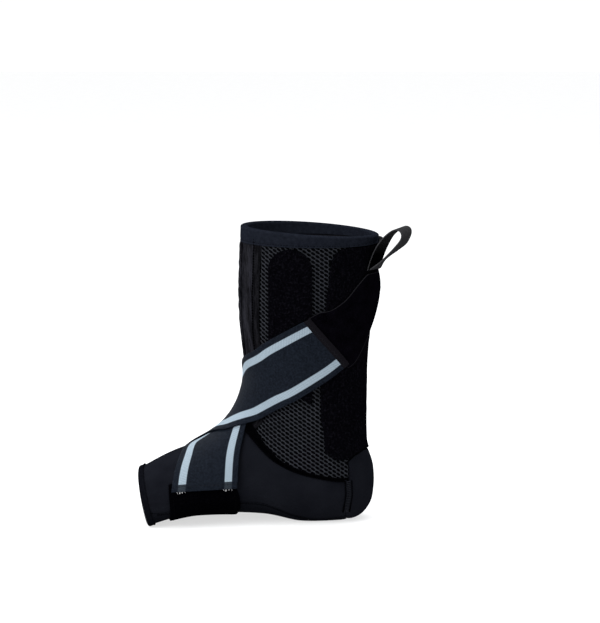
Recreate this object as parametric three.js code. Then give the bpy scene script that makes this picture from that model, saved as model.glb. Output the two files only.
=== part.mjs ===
// Ankle and foot brace for the right foot, in the shape it has when it is worn: an open-toed sewn boot
// of neoprene, spacer mesh and loop pile, wrapped by two elastic straps that cross over the instep.
// Millimetres. X runs from the toes to the heel, Y from the inner ankle to the outer one, Z up.
// The origin lies on the floor, on the flat of the heel under the middle of the shaft.
import * as THREE from 'three';

// Sides of the boot
const INNER = -1;
const OUTER = 1;

// Thicknesses, gaps and widths
const WALL = 3.0;            // neoprene and spacer mesh of the boot
const GAP = 0.6;             // between a piece and the one it lies on
const SEAM = 0.6;            // between two panels that are sewn edge to edge
const BINDING = 1.0;         // folded edge binding
const PILE = 1.4;            // loop-pile pockets, flap and back panel
const TAPE = 0.6;            // tape over the quarter seam
const STRAP = 1.4;           // elastic strap
const STRAP_WIDTH = 50;
const TAB = 1.4;             // hook tab at the leg end of a strap
const SOLE_BAND = 1.5;       // band under the sole that the straps are sewn to
const LOOP = 1.2;            // pull loop webbing
const LOOP_WIDTH = 16;
const CUFF_BINDING = { height: 8.6, tilt: 3 };   // taller at the front by the tilt, lower at the back
const TOE_BINDING_HEIGHT = 4;

// Sections of the boot's outer surface, from the toes round the heel to the cuff. front and back are the
// ends of the section in the mid-plane, inner and outer its half widths, and widest the share of the way
// from front to back where it is widest. A power of 2 is an ellipse and a higher one is squarer. arch lifts
// the inner edge of the sole and lowers the outer one, and ground is the level that the sole is flattened to.
const COLUMNS = ['frontX', 'frontZ', 'backX', 'backZ', 'inner', 'outer', 'widest',
  'frontPower', 'backPower', 'arch', 'ground'];
const SECTIONS = {
  toe_rim: [-137, 39.5, -127, -1.5, 45, 45, 0.64, 2.1, 3.2, 0, 1.6],
  ball: [-112.6, 53, -104, 2, 46, 46, 0.68, 2, 3.2, 6, 2.2],
  instep: [-87.3, 63, -72, 4, 41, 43, 0.68, 2, 2.8, 12, 2.2],
  arch: [-71, 73.4, -38, 3, 37, 40, 0.64, 2, 2.6, 8, 1],
  waist: [-61.6, 83.5, -8, -1.5, 36, 38, 0.6, 2, 2.5, 1, 0],
  heel_front: [-56.5, 92.2, 18, -1.5, 36, 37, 0.58, 2, 2.4, 0, 0],
  heel_under: [-53.8, 98.4, 38, 1.5, 36.5, 37, 0.56, 2, 2.2, 0, 0],
  heel_low: [-52.2, 103.4, 48.5, 12.5, 37, 37, 0.54, 2, 2.1, 0, 0],
  heel_back: [-50.8, 108.6, 51.5, 27, 37.5, 37.5, 0.52, 2, 2, 0, 0],
  heel_high: [-50, 114, 51, 42, 38, 38, 0.5, 2, 2, 0, 0],
  heel_top: [-49.7, 119, 48, 53, 38, 38, 0.5, 2, 2, 0, 0],
  achilles: [-50, 125, 44, 64, 37, 37, 0.5, 2, 2, 0, 0],
  ankle: [-52.4, 138, 43.5, 92, 35.5, 35.5, 0.5, 2, 2, 0, 0],
  shin_low: [-54.6, 158, 44.5, 135, 36, 36, 0.5, 2, 2, 0, 0],
  shin_mid: [-55.6, 182, 48.5, 170, 40, 40, 0.5, 2, 2, 0, 0],
  shin_high: [-55, 208, 52, 203, 45, 45, 0.5, 2, 2, 0, 0],
  cuff: [-54, 236.5, 53.5, 229.4, 49, 49, 0.5, 2, 2, 0, 0],
};
const ROWS = Object.values(SECTIONS);
const TOE = 0;
const CUFF = ROWS.length - 1;

// Seams and edges as they look from the side, as [x, z] places on the surface.
// The quarter seam joins the neoprene foot to the spacer mesh and starts on the instep ridge.
const QUARTER_RIDGE = 4.25;
const QUARTER_SEAM = [[-53, 77], [-43, 67.5], [-31, 55.5], [-19.5, 48.5], [0, 41.5], [28.8, 36.8]];
const HEEL_SEAM = [[30.4, 36], [31, 24], [28.8, 9]];
const HEEL_SEAM_UNDER = 5.45;
const HEEL_CUP_TOP = [[29.4, 49.5], [36.6, 55.6], [43.3, 57.8]];
const HEEL_CUP_BACK = 10.45;
const HEEL_CUP_SIDE = 126;
const SOLE_SEAM = [[-129, 12.5], [-109, 13.5], [-84, 17], [-57, 19], [-38, 17.5], [-28, 13.8], [-16, 8.4]];
const SOLE_SEAM_HEEL = [[4.6, 150], [6, 152]];
const FRONT_EDGE = 40;

const OUTER_DROP = 0.35;     // share of the arch that the outer edge of the sole is lowered by
const RAD = Math.PI / 180;
const lerp = THREE.MathUtils.lerp;

// Surface of the boot

// The section at u, which counts sections from the toes, on a Catmull-Rom curve through the rows.
function section(u) {
  const i = THREE.MathUtils.clamp(Math.floor(u), 0, CUFF - 1);
  const t = u - i;
  const row = {};
  COLUMNS.forEach((name, column) => {
    const b = ROWS[i][column];
    const c = ROWS[i + 1][column];
    const a = i > 0 ? ROWS[i - 1][column] : 2 * b - c;
    const d = i + 2 <= CUFF ? ROWS[i + 2][column] : 2 * c - b;
    row[name] = b + 0.5 * t * (c - a + t * (2 * a - 5 * b + 4 * c - d + t * (3 * (b - c) + d - a)));
  });
  return row;
}

// The surface point at u and at an angle in degrees, 0 on the front ridge, 180 on the back line or under the
// sole and negative on the inner side, and how far the arch lifts it.
function shellAndArch(u, angle) {
  const row = section(u);
  const c = Math.cos(angle * RAD);
  const s = Math.sin(angle * RAD);
  const power = c > 0 ? row.frontPower : row.backPower;
  const along = Math.abs(c) ** (2 / power);
  const across = Math.abs(s) ** (2 / power);
  const share = c > 0 ? row.widest * (1 - along) : row.widest + (1 - row.widest) * along;
  const x = lerp(row.frontX, row.backX, share);
  const y = s < 0 ? -row.inner * across : row.outer * across;
  const lift = (s < 0 ? 1 : -OUTER_DROP) * row.arch * across * share ** 3;
  const z = lerp(row.frontZ, row.backZ, share) + lift;
  return { point: new THREE.Vector3(x, y, Math.max(z, row.ground, 0)), lift };
}

const shell = (u, angle) => shellAndArch(u, angle).point;

function alongSection(u, angle) {
  const step = 0.01;
  const from = Math.max(u - step, TOE);
  const to = Math.min(u + step, CUFF);
  return shell(to, angle).sub(shell(from, angle)).divideScalar(to - from);
}

function aroundSection(u, angle) {
  const step = 0.4;
  return shell(u, angle + step).sub(shell(u, angle - step)).divideScalar(2 * step);
}

function outward(u, angle) {
  return alongSection(u, angle).cross(aroundSection(u, angle)).normalize();
}

// The point that stands a lift out from the surface, or in from it where the lift is negative.
function raised(u, angle, lift) {
  return shell(u, angle).addScaledVector(outward(u, angle), lift);
}

// u moved along the boot, and an angle moved round it, by a distance on the surface.
const moveU = (u, angle, distance) => u + distance / alongSection(u, angle).length();
const moveAngle = (u, angle, distance) => angle + distance / aroundSection(u, angle).length();

// Where a side-view place [x, z], or a point near the surface, lies on it, looking for u near a first guess.
function settle(point, guess = null) {
  const beside = (u) => {
    const row = section(u);
    return (row.backX - row.frontX) * (point.z - row.frontZ) - (row.backZ - row.frontZ) * (point.x - row.frontX);
  };
  const steps = 160;
  let best = null;
  for (let k = 0; k < steps; k += 1) {
    let low = lerp(TOE, CUFF, k / steps);
    let high = lerp(TOE, CUFF, (k + 1) / steps);
    if (beside(low) * beside(high) > 0) continue;
    for (let turn = 0; turn < 30; turn += 1) {
      const middle = (low + high) / 2;
      if (beside(low) * beside(middle) <= 0) high = middle;
      else low = middle;
    }
    const u = (low + high) / 2;
    const row = section(u);
    const dx = row.backX - row.frontX;
    const dz = row.backZ - row.frontZ;
    const share = ((point.x - row.frontX) * dx + (point.z - row.frontZ) * dz) / (dx * dx + dz * dz);
    const miss = Math.max(-share, share - 1, 0) + (guess === null ? 0 : Math.abs(u - guess) / 100);
    if (best === null || miss < best.miss) best = { u, row, miss, share: THREE.MathUtils.clamp(share, 0, 1) };
  }
  const { u, row, share } = best;
  const towardsFront = share < row.widest;
  const power = towardsFront ? row.frontPower : row.backPower;
  const reach = towardsFront ? (row.widest - share) / row.widest : (share - row.widest) / (1 - row.widest);
  const c = (towardsFront ? 1 : -1) * reach ** (power / 2);
  const half = point.y < 0 ? row.inner : row.outer;
  const s = point.y === undefined ? Math.sqrt(1 - c * c) : Math.sign(point.y) * Math.abs(point.y / half) ** (power / 2);
  return { u, angle: Math.atan2(s, c) / RAD };
}

// Where a point near the surface lies on it, with the lift of the arch taken off first.
function settlePoint(point, guess = null) {
  let place = settle(point, guess);
  for (let turn = 0; turn < 4; turn += 1) {
    const { lift } = shellAndArch(place.u, place.angle);
    place = settle({ x: point.x, y: point.y, z: point.z - lift }, guess);
  }
  return place;
}

const sideView = ([x, z]) => settle({ x, z });

// Where a side-view place on the arched inner side lies.
function archView([x, z]) {
  let place = settle({ x, z });
  for (let turn = 0; turn < 10; turn += 1) {
    const { lift } = shellAndArch(place.u, -place.angle);
    place = settle({ x, z: z - lift });
  }
  return place;
}

// u at an angle and a height on the shaft.
function heightOnShaft(angle, z) {
  let low = ROWS.length - 9;
  let high = CUFF;
  for (let turn = 0; turn < 40; turn += 1) {
    const middle = (low + high) / 2;
    if (shell(middle, angle).z < z) low = middle;
    else high = middle;
  }
  return (low + high) / 2;
}

// A smooth function through [x, y] pairs in rising x, level past both ends.
function through(pairs) {
  const slope = (i) => {
    const a = pairs[Math.max(i - 1, 0)];
    const b = pairs[Math.min(i + 1, pairs.length - 1)];
    return (b[1] - a[1]) / (b[0] - a[0]);
  };
  return (x) => {
    if (x <= pairs[0][0]) return pairs[0][1];
    const i = pairs.findIndex((pair) => pair[0] >= x) - 1;
    if (i < 0) return pairs[pairs.length - 1][1];
    const width = pairs[i + 1][0] - pairs[i][0];
    const t = (x - pairs[i][0]) / width;
    const bend = (1 - t) ** 2 * t * slope(i) * width - t * t * (1 - t) * slope(i + 1) * width;
    return pairs[i][1] * (1 + 2 * t) * (1 - t) ** 2 + pairs[i + 1][1] * t * t * (3 - 2 * t) + bend;
  };
}

const angleToU = (places) => places.map(sideView).map(({ u, angle }) => [angle, u]);
const uToAngle = (places) => places.map(archView).map(({ u, angle }) => [u, angle]);

// Seams as functions: u at an angle, or the angle at u. Both sides of the boot share them.
const quarterSeam = through([[0, QUARTER_RIDGE], ...angleToU(QUARTER_SEAM)]);
const heelSeam = through([...angleToU(HEEL_SEAM), [180, HEEL_SEAM_UNDER]]);
const heelCupTop = through([...angleToU(HEEL_CUP_TOP), [180, HEEL_CUP_BACK]]);
const soleSeam = through([...uToAngle(SOLE_SEAM), ...SOLE_SEAM_HEEL]);

// An angle of 0 to 360 folded onto 0 to 180, because both sides have the same seams.
const fold = (angle) => (angle > 180 ? 360 - angle : Math.abs(angle));
const footTop = (angle) => (fold(angle) < HEEL_CUP_SIDE ? quarterSeam(fold(angle)) : heelSeam(fold(angle)));

// Solids

const spread = (from, to, steps) => Array.from({ length: steps + 1 }, (_, i) => lerp(from, to, i / steps));

// A closed solid between two grids of points of the same size, its faces turned outwards. Where round is set,
// the last column meets the first.
function solidBetween(top, bottom, round = false) {
  const rows = top.length;
  const columns = top[0].length;
  const points = [...top.flat(), ...bottom.flat()];
  const half = rows * columns;
  const at = (i, j) => i * columns + (j % columns);
  const index = [];
  const quad = (a, b, c, d) => index.push(a, b, c, a, c, d);
  const lastColumn = round ? columns : columns - 1;
  for (let i = 0; i < rows - 1; i += 1) {
    for (let j = 0; j < lastColumn; j += 1) {
      quad(at(i, j), at(i, j + 1), at(i + 1, j + 1), at(i + 1, j));
      quad(half + at(i, j), half + at(i + 1, j), half + at(i + 1, j + 1), half + at(i, j + 1));
    }
  }
  for (let j = 0; j < lastColumn; j += 1) {
    quad(at(0, j + 1), at(0, j), half + at(0, j), half + at(0, j + 1));
    quad(at(rows - 1, j), at(rows - 1, j + 1), half + at(rows - 1, j + 1), half + at(rows - 1, j));
  }
  for (let i = 0; i < rows - 1 && !round; i += 1) {
    quad(at(i, 0), at(i + 1, 0), half + at(i + 1, 0), half + at(i, 0));
    quad(at(i + 1, columns - 1), at(i, columns - 1), half + at(i, columns - 1), half + at(i + 1, columns - 1));
  }
  let volume = 0;
  for (let k = 0; k < index.length; k += 3) {
    volume += points[index[k]].dot(points[index[k + 1]].clone().cross(points[index[k + 2]]));
  }
  if (volume < 0) index.reverse();
  const geometry = new THREE.BufferGeometry().setFromPoints(points);
  geometry.setIndex(index);
  geometry.computeVertexNormals();
  return geometry;
}

// A solid over a grid of { u, angle } places, from one lift off the surface to another.
function overSurface(places, fromLift, toLift, round = false) {
  const layer = (lift) => places.map((line) => line.map(({ u, angle }) => raised(u, angle, lift)));
  return solidBetween(layer(toLift), layer(fromLift), round);
}

// A panel of the boot's wall between two u limits at each angle, set in from its seams.
function wallPanel(angles, lowU, highU, rows) {
  const places = spread(0, 1, rows).map((b) => angles.map((angle) => {
    const low = lowU(angle);
    const high = highU(angle);
    const from = low === TOE ? low : moveU(low, angle, SEAM / 2);
    const to = high === CUFF ? high : moveU(high, angle, -SEAM / 2);
    return { u: lerp(from, to, b), angle };
  }));
  return overSurface(places, -WALL, 0);
}

// Angles where the columns of neighbouring panels meet each other along the seams between them.
const FRONT_ANGLES = spread(0, FRONT_EDGE, 4);
const SIDE_ANGLES = spread(FRONT_EDGE, HEEL_CUP_SIDE - 1, 9);
const SOLE_END = SOLE_SEAM_HEEL[SOLE_SEAM_HEEL.length - 1][1];
const QUARTER_HEEL_ANGLES = spread(HEEL_CUP_SIDE, SOLE_END, 3);
const UNDER_HEEL_ANGLES = spread(SOLE_END, 360 - SOLE_END, 12);
const mirrored = (angles) => angles.map((angle) => 360 - angle).reverse();

// Neoprene from the toes over the instep and along both quarters, between the two sole seams.
const FOOT_ROWS = 11;
const SOLE_INSET = 0.7 * SEAM;
const soleEdge = (u, inset) => moveAngle(u, soleSeam(u), inset);

function footPanel() {
  const seamAngles = [...FRONT_ANGLES, ...SIDE_ANGLES.slice(1), ...QUARTER_HEEL_ANGLES];
  const shares = seamAngles.map((angle) => Math.min(angle / soleEdge(footTop(angle), -SOLE_INSET), 1));
  const columns = [...shares.slice(1).map((a) => -a).reverse(), ...shares];
  const topOf = (a) => {
    let u = QUARTER_RIDGE;
    for (let turn = 0; turn < 40; turn += 1) u = lerp(u, footTop(a * soleEdge(u, -SOLE_INSET)), 0.5);
    return moveU(u, a * soleEdge(u, -SOLE_INSET), -SEAM / 2);
  };
  const tops = columns.map((a) => [a, topOf(a)]);
  const places = spread(0, 1, FOOT_ROWS).map((b) => tops.map(([a, top]) => {
    const u = lerp(TOE, top, b);
    return { u, angle: a * soleEdge(u, -SOLE_INSET) };
  }));
  return overSurface(places, -WALL, 0);
}

// Neoprene under the foot, from sole seam to sole seam and back to the heel cup.
function solePanel() {
  const tops = UNDER_HEEL_ANGLES.map((angle, i) => {
    return [i / (UNDER_HEEL_ANGLES.length - 1), moveU(footTop(angle), angle, -SEAM / 2)];
  });
  const places = spread(0, 1, FOOT_ROWS).map((b) => tops.map(([a, top]) => {
    const u = lerp(TOE, top, b);
    const edge = soleEdge(u, SOLE_INSET);
    return { u, angle: lerp(edge, 360 - edge, a) };
  }));
  return overSurface(places, -WALL, 0);
}

function heelCup() {
  const side = [HEEL_CUP_SIDE + 0.4, ...QUARTER_HEEL_ANGLES.slice(1, -1)];
  const angles = [...side, ...UNDER_HEEL_ANGLES, ...mirrored(side)];
  return wallPanel(angles, (angle) => heelSeam(fold(angle)), (angle) => heelCupTop(fold(angle)), 8);
}

// Spacer mesh round the sides and back of the shaft, open at the front.
function shaftMesh() {
  const corner = HEEL_CUP_SIDE - 1;
  const side = [FRONT_EDGE + 0.3, ...SIDE_ANGLES.slice(1, -1), corner - 0.4];
  const back = spread(corner + 0.4, 359.6 - corner, 12);
  const low = (angle) => (fold(angle) < corner ? quarterSeam(fold(angle)) : heelCupTop(fold(angle)));
  return wallPanel([...side, ...back, ...mirrored(side)], low, () => CUFF, 11);
}

function frontPanel() {
  const edge = FRONT_EDGE - 0.3;
  return wallPanel(spread(-edge, edge, 8), (angle) => quarterSeam(fold(angle)), () => CUFF, 11);
}

// Where the bindings' lower edges run.
const cuffLow = (angle) => moveU(CUFF, angle, -CUFF_BINDING.height - CUFF_BINDING.tilt * Math.cos(angle * RAD));
const toeLow = (angle) => moveU(TOE, angle, TOE_BINDING_HEIGHT);

// Binding folded over an edge of the wall: up the outside, over the edge and down the inside.
function foldedBinding(edgeU, lowU, columns) {
  const inwards = edgeU === CUFF ? -1 : 1;
  const places = spread(0, 360, columns).slice(0, -1);
  const lines = [GAP + BINDING, GAP].map((offset) => places.map((angle) => {
    const low = lowU(angle);
    const beyond = alongSection(edgeU, angle).normalize().multiplyScalar(-inwards * offset);
    return [
      raised(low, angle, offset),
      raised(edgeU, angle, offset),
      raised(edgeU, angle, offset).add(beyond),
      raised(edgeU, angle, -WALL - 0.3 - offset).add(beyond),
      raised(edgeU, angle, -WALL - 0.3 - offset),
      raised(low, angle, -WALL - 0.3 - offset),
    ];
  }));
  const turned = lines.map((line) => line[0].map((_, k) => line.map((column) => column[k])));
  return solidBetween(turned[0], turned[1], true);
}

// A piece that lies on the boot between two edges, each a list of side-view places in step with the other.
function betweenEdges(edges, side, across, fromLift, toLift) {
  const places = edges.map(([first, second]) => spread(0, 1, across).map((a) => {
    const { u, angle } = sideView([lerp(first[0], second[0], a), lerp(first[1], second[1], a)]);
    return { u, angle: side * angle };
  }));
  return overSurface(places, fromLift, toLift);
}

// Loop-pile pocket for the side stay: straight sides, a round top and a slanted foot under the strap.
const POCKET = { middleX: -15.5, halfWidth: 17, topZ: 223, frontFootZ: 117, backFootZ: 98 };

function stayPocket(side) {
  const shoulderZ = POCKET.topZ - POCKET.halfWidth;
  const straight = spread(0, 1, 8).map((b) => [
    [POCKET.middleX - POCKET.halfWidth, lerp(POCKET.frontFootZ, shoulderZ, b)],
    [POCKET.middleX + POCKET.halfWidth, lerp(POCKET.backFootZ, shoulderZ, b)],
  ]);
  const round = [20, 40, 60, 80].map((turn) => {
    const reach = POCKET.halfWidth * Math.cos(turn * RAD);
    const z = shoulderZ + POCKET.halfWidth * Math.sin(turn * RAD);
    return [[POCKET.middleX - reach, z], [POCKET.middleX + reach, z]];
  });
  return betweenEdges([...straight, ...round], side, 5, GAP, GAP + PILE);
}

// Loop-pile panel round the back of the shaft, its foot along the heel cup. Its top, as [angle, distance under the
// cuff binding], has rounded corners.
const BACK_PANEL = {
  footAngle: 101,
  topAngle: 108.5,
  foot: [[8.4, 66], [11.8, 60.3], [21.4, 53.5], [30.2, 54.2], [37, 57.6], [43, 59]],
  footBack: 10.48,
  topDrop: [[108.5, 15], [110, 9], [113, 4.4], [118, 1.8], [124, 0.8]],
};

function backPanel() {
  const foot = through([...angleToU(BACK_PANEL.foot), [180, BACK_PANEL.footBack]]);
  const drop = through(BACK_PANEL.topDrop);
  const top = (angle) => moveU(cuffLow(angle), angle, -drop(angle));
  const places = spread(0, 1, 10).map((b) => spread(0, 1, 18).map((a) => {
    const edge = lerp(BACK_PANEL.footAngle, BACK_PANEL.topAngle, b);
    const angle = lerp(edge, 360 - edge, a);
    return { u: lerp(foot(fold(angle)), top(fold(angle)), b), angle };
  }));
  return overSurface(places, GAP + 0.2, GAP + 0.2 + PILE);
}

// Closure flap down the front of the shaft, its free edge just past the ridge on the inner side.
const FLAP = { freeEdge: -13, sewnEdge: 37, footU: 11.2, topDrop: 0.8 };

function frontFlap() {
  const top = (angle) => moveU(cuffLow(angle), angle, -FLAP.topDrop);
  const places = spread(0, 1, 10).map((b) => spread(FLAP.freeEdge, FLAP.sewnEdge, 5)
    .map((angle) => ({ u: lerp(FLAP.footU, top(angle), b), angle })));
  return overSurface(places, GAP, GAP + PILE * 0.9);
}

// Tape that covers the quarter seam, wider at the instep. Each row has its foot-side and mesh-side edge.
const QUARTER_TAPE = [
  [[-55.5, 79.5], [-47.5, 82]],
  [[-50, 73], [-41.5, 74.5]],
  [[-43.8, 66], [-36, 66]],
  [[-37.5, 59.5], [-30.5, 60]],
  [[-31, 53.6], [-25.5, 55]],
  [[-20.5, 47.2], [-17.5, 50]],
  [[-10, 42.8], [-8.5, 46.3]],
  [[0, 40], [0.8, 43.2]],
  [[10, 37.8], [10.5, 41]],
  [[19, 36], [19.5, 39.4]],
  [[27, 35.2], [27, 38.6]],
];

const quarterTape = (side) => betweenEdges(QUARTER_TAPE, side, 2, GAP + 0.4, GAP + 0.4 + TAPE);

// Band under the sole, up both sides to the strap ends.
const BAND = { topAngle: 62, frontTop: 0.92, frontUnder: 0.7, rearTop: 2.78, rearUnder: 2.38 };

function soleBand() {
  const places = spread(BAND.topAngle, 360 - BAND.topAngle, 20).map((angle) => {
    const under = (fold(angle) - BAND.topAngle) / (180 - BAND.topAngle);
    const front = lerp(BAND.frontTop, BAND.frontUnder, under);
    const rear = lerp(BAND.rearTop, BAND.rearUnder, under);
    return spread(front, rear, 5).map((u) => ({ u, angle }));
  });
  return overSurface(places, GAP, GAP + SOLE_BAND);
}

// Straps and hook tabs

// Edges of a strap as [x, z, side] knots from its sewn end beside the sole, over the instep ridge, to its end
// on the other side of the shin. A side of 1 is the side that the strap starts on.
const STRAP_FRONT = {
  [INNER]: [
    [-109.5, 27.7, 1], [-107.2, 42, 1], [-103.8, 51.5, 1], [-97, 57.5, 0], [-80, 65.5, -1],
    [-62, 73.5, -1], [-38, 87, -1], [-8, 103.4, -1], [17.6, 120.8, -1], [28.2, 130.3, -1],
  ],
  [OUTER]: [
    [-109.5, 27.7, 1], [-105, 43, 1], [-96, 56, 1], [-79.5, 67, 0], [-68, 71.4, -1], [-54.6, 76.6, -1],
    [-33.6, 88.3, -1], [-8, 103.4, -1], [17.6, 120.8, -1], [28.2, 130.3, -1],
  ],
};
const STRAP_REAR = [
  [-58.3, 28.9, 1], [-54.6, 62, 1], [-48.5, 84, 1], [-44, 107, 1], [-51, 126.2, 0], [-43.5, 139.2, -1],
  [-36, 145.9, -1], [-18, 158, -1], [-0.1, 168.8, -1],
];
const OVER_PILE = GAP + PILE + GAP + 0.45;
const OVER_BAND = GAP + SOLE_BAND + GAP;
const OVER_TAB = OVER_PILE + TAB + GAP;
const CROSSING = STRAP + GAP + 0.75;

// Lift along a strap as a share of its length. The strap that crosses on top is lifted more there.
function strapLift(onTop) {
  const over = onTop ? CROSSING : 0;
  return through([
    [0, OVER_BAND], [0.05, OVER_BAND + over * 0.6], [0.15, OVER_BAND + over], [0.3, OVER_PILE + over],
    [0.6, OVER_PILE + over], [0.78, OVER_PILE + over * 0.5], [0.88, OVER_PILE], [0.94, OVER_TAB], [1, OVER_TAB],
  ]);
}

// A strap laid straight across the boot's surface between its two edges.
function strap(startSide, onTop, steps = 36, across = 6) {
  const edge = (knots) => {
    const points = knots.map(([x, z, side]) => {
      const { u, angle } = sideView([x, z]);
      return shell(u, side * startSide * angle);
    });
    return new THREE.CatmullRomCurve3(points, false, 'catmullrom', 0.5).getSpacedPoints(steps);
  };
  const front = edge(STRAP_FRONT[startSide]);
  const rear = edge(STRAP_REAR);
  const lift = strapLift(onTop);
  const places = front.map((point, i) => {
    const shares = startSide === INNER ? spread(0, 1, across) : spread(1, 0, across);
    return shares.map((share) => settlePoint(point.clone().lerp(rear[i], share)));
  });
  const layer = (extra) => places.map((row, i) => {
    const base = lift(i / steps) + extra;
    return row.map(({ u, angle }) => raised(u, angle, base));
  });
  return solidBetween(layer(STRAP), layer(0));
}

// Hook tab from under a strap's leg end, up and round to the back of the shin. Each row has a place on its
// upper edge and one on its lower edge, as [angle, z].
const HOOK_TAB = [
  [[93, 168], [133, 126.5]],
  [[102, 172.6], [142, 131]],
  [[112, 174.6], [150, 139]],
  [[124, 181.8], [158, 147.5]],
  [[135, 193], [165, 156]],
  [[144, 200.8], [170, 164]],
  [[150, 202], [173, 172]],
  [[156, 202.4], [175, 180]],
  [[162, 202.5], [176, 189]],
];

function hookTab(side) {
  const places = HOOK_TAB.map(([upper, lower]) => spread(0, 1, 6).map((a) => {
    const angle = lerp(upper[0], lower[0], a);
    return { u: heightOnShaft(angle, lerp(upper[1], lower[1], a)), angle: side * angle };
  }));
  return overSurface(places, OVER_PILE, OVER_PILE + TAB);
}

// Pull loops

// A ribbon along a curve through points, with the way its width runs at each of them.
function ribbon(points, widths, steps) {
  const path = new THREE.CatmullRomCurve3(points);
  const width = new THREE.CatmullRomCurve3(widths);
  const layer = (offset) => spread(0, 1, steps).map((t) => {
    const wide = width.getPoint(t).normalize();
    const face = path.getTangent(t).cross(wide).normalize();
    return [-0.5, 0, 0.5].map((edge) => path.getPoint(t)
      .addScaledVector(wide, edge * LOOP_WIDTH)
      .addScaledVector(face, offset));
  });
  return solidBetween(layer(LOOP / 2), layer(-LOOP / 2));
}

// The inner loop stands out behind the shin: up its far leg, over the top and down its near leg.
const STANDING_LOOP = [
  { at: [50, -21.5, 204], wide: [0.6, 0.8, 0] },
  { at: [52.5, -20, 212], wide: [0.62, 0.78, 0] },
  { at: [56.2, -19, 221], wide: [0.6, 0.8, 0] },
  { at: [61.2, -19, 229.3], wide: [0.58, 0.8, 0.1] },
  { at: [66.5, -20, 234.5], wide: [0.56, 0.8, 0.1] },
  { at: [71, -23, 237.2], wide: [0.55, 0.8, 0.1] },
  { at: [74.5, -26, 236.6], wide: [0.52, 0.8, 0.1] },
  { at: [75.8, -28.5, 233.8], wide: [0.5, 0.8, 0.1] },
  { at: [74.8, -30.5, 230], wide: [0.5, 0.8, 0.1] },
  { at: [71, -32, 224.6], wide: [0.45, 0.85, 0.1] },
  { at: [65.6, -31.5, 219.6], wide: [0.35, 0.9, 0.1] },
  { at: [57.6, -28.5, 212.3], wide: [0.3, 0.95, 0.05] },
  { at: [51.4, -23.6, 205], wide: [0.55, 0.83, 0] },
];

function standingLoop() {
  const vectors = (name) => STANDING_LOOP.map((row) => new THREE.Vector3(...row[name]));
  return ribbon(vectors('at'), vectors('wide'), 24);
}

// The outer loop lies against the shin above its tab. Each row is a height and a lift off the surface.
const LYING_LOOP_ANGLE = 158;
const LYING_LOOP = [[204, 3.4], [211, 3.5], [219, 3.6], [224.5, 3.9], [226.5, 5.2],
  [224.5, 6.5], [219, 6.6], [211, 6.2], [204, 5.4]];

function lyingLoop() {
  const points = LYING_LOOP.map(([z, lift]) => {
    return raised(heightOnShaft(LYING_LOOP_ANGLE, z), LYING_LOOP_ANGLE, lift);
  });
  const widths = LYING_LOOP.map(([z]) => aroundSection(heightOnShaft(LYING_LOOP_ANGLE, z), LYING_LOOP_ANGLE));
  return ribbon(points, widths, 16);
}

// Build

// Colour and roughness of each finish.
const FINISHES = {
  neoprene: [0x16171c, 0.85],
  spacerMesh: [0x2a2b30, 0.9],
  loopPile: [0x08080b, 0.98],
  stretchBinding: [0x141820, 0.8],
  elastic: [0x141a22, 0.8],
  hookFabric: [0x0c0b10, 0.95],
  webbing: [0x1c1c1e, 0.75],
};

function fabric(finish) {
  const [color, roughness] = FINISHES[finish];
  return new THREE.MeshStandardMaterial({ color, roughness, metalness: 0 });
}

const pieces = [
  ['foot_panel', footPanel(), 'neoprene'],
  ['sole_panel', solePanel(), 'neoprene'],
  ['heel_cup', heelCup(), 'neoprene'],
  ['shaft_mesh', shaftMesh(), 'spacerMesh'],
  ['front_panel', frontPanel(), 'loopPile'],
  ['front_flap', frontFlap(), 'loopPile'],
  ['back_panel', backPanel(), 'loopPile'],
  ['cuff_binding', foldedBinding(CUFF, cuffLow, 32), 'stretchBinding'],
  ['toe_binding', foldedBinding(TOE, toeLow, 36), 'stretchBinding'],
  ['sole_band', soleBand(), 'loopPile'],
  ['stay_pocket_inner', stayPocket(INNER), 'loopPile'],
  ['stay_pocket_outer', stayPocket(OUTER), 'loopPile'],
  ['quarter_tape_inner', quarterTape(INNER), 'stretchBinding'],
  ['quarter_tape_outer', quarterTape(OUTER), 'stretchBinding'],
  ['strap_inner', strap(INNER, false), 'elastic'],
  ['strap_outer', strap(OUTER, true), 'elastic'],
  ['hook_tab_inner', hookTab(INNER), 'hookFabric'],
  ['hook_tab_outer', hookTab(OUTER), 'hookFabric'],
  ['pull_loop_inner', standingLoop(), 'webbing'],
  ['pull_loop_outer', lyingLoop(), 'webbing'],
];

const brace = new THREE.Group();
brace.name = 'ankle_brace';
for (const [name, geometry, finish] of pieces) {
  const mesh = new THREE.Mesh(geometry, fabric(finish));
  mesh.name = name;
  brace.add(mesh);
}

export default brace;
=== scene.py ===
import math
import random

import bmesh
import bpy
import numpy as np
from mathutils import Matrix, Vector, noise
from mathutils.kdtree import KDTree


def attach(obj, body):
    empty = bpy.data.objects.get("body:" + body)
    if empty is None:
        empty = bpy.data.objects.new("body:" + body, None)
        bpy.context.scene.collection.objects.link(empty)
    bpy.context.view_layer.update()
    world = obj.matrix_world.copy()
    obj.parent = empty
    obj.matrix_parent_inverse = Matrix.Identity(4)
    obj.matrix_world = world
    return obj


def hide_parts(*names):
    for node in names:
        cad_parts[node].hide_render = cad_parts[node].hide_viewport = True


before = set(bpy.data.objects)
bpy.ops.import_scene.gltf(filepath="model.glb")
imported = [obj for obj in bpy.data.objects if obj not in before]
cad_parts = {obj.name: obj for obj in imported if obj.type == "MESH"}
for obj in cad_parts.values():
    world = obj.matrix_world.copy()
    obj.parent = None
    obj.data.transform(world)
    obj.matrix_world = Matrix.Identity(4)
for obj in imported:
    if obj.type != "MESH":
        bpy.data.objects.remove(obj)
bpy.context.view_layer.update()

MM = 0.001
INNER = -1
OUTER = 1
SIDES = {INNER: "inner", OUTER: "outer"}

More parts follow.
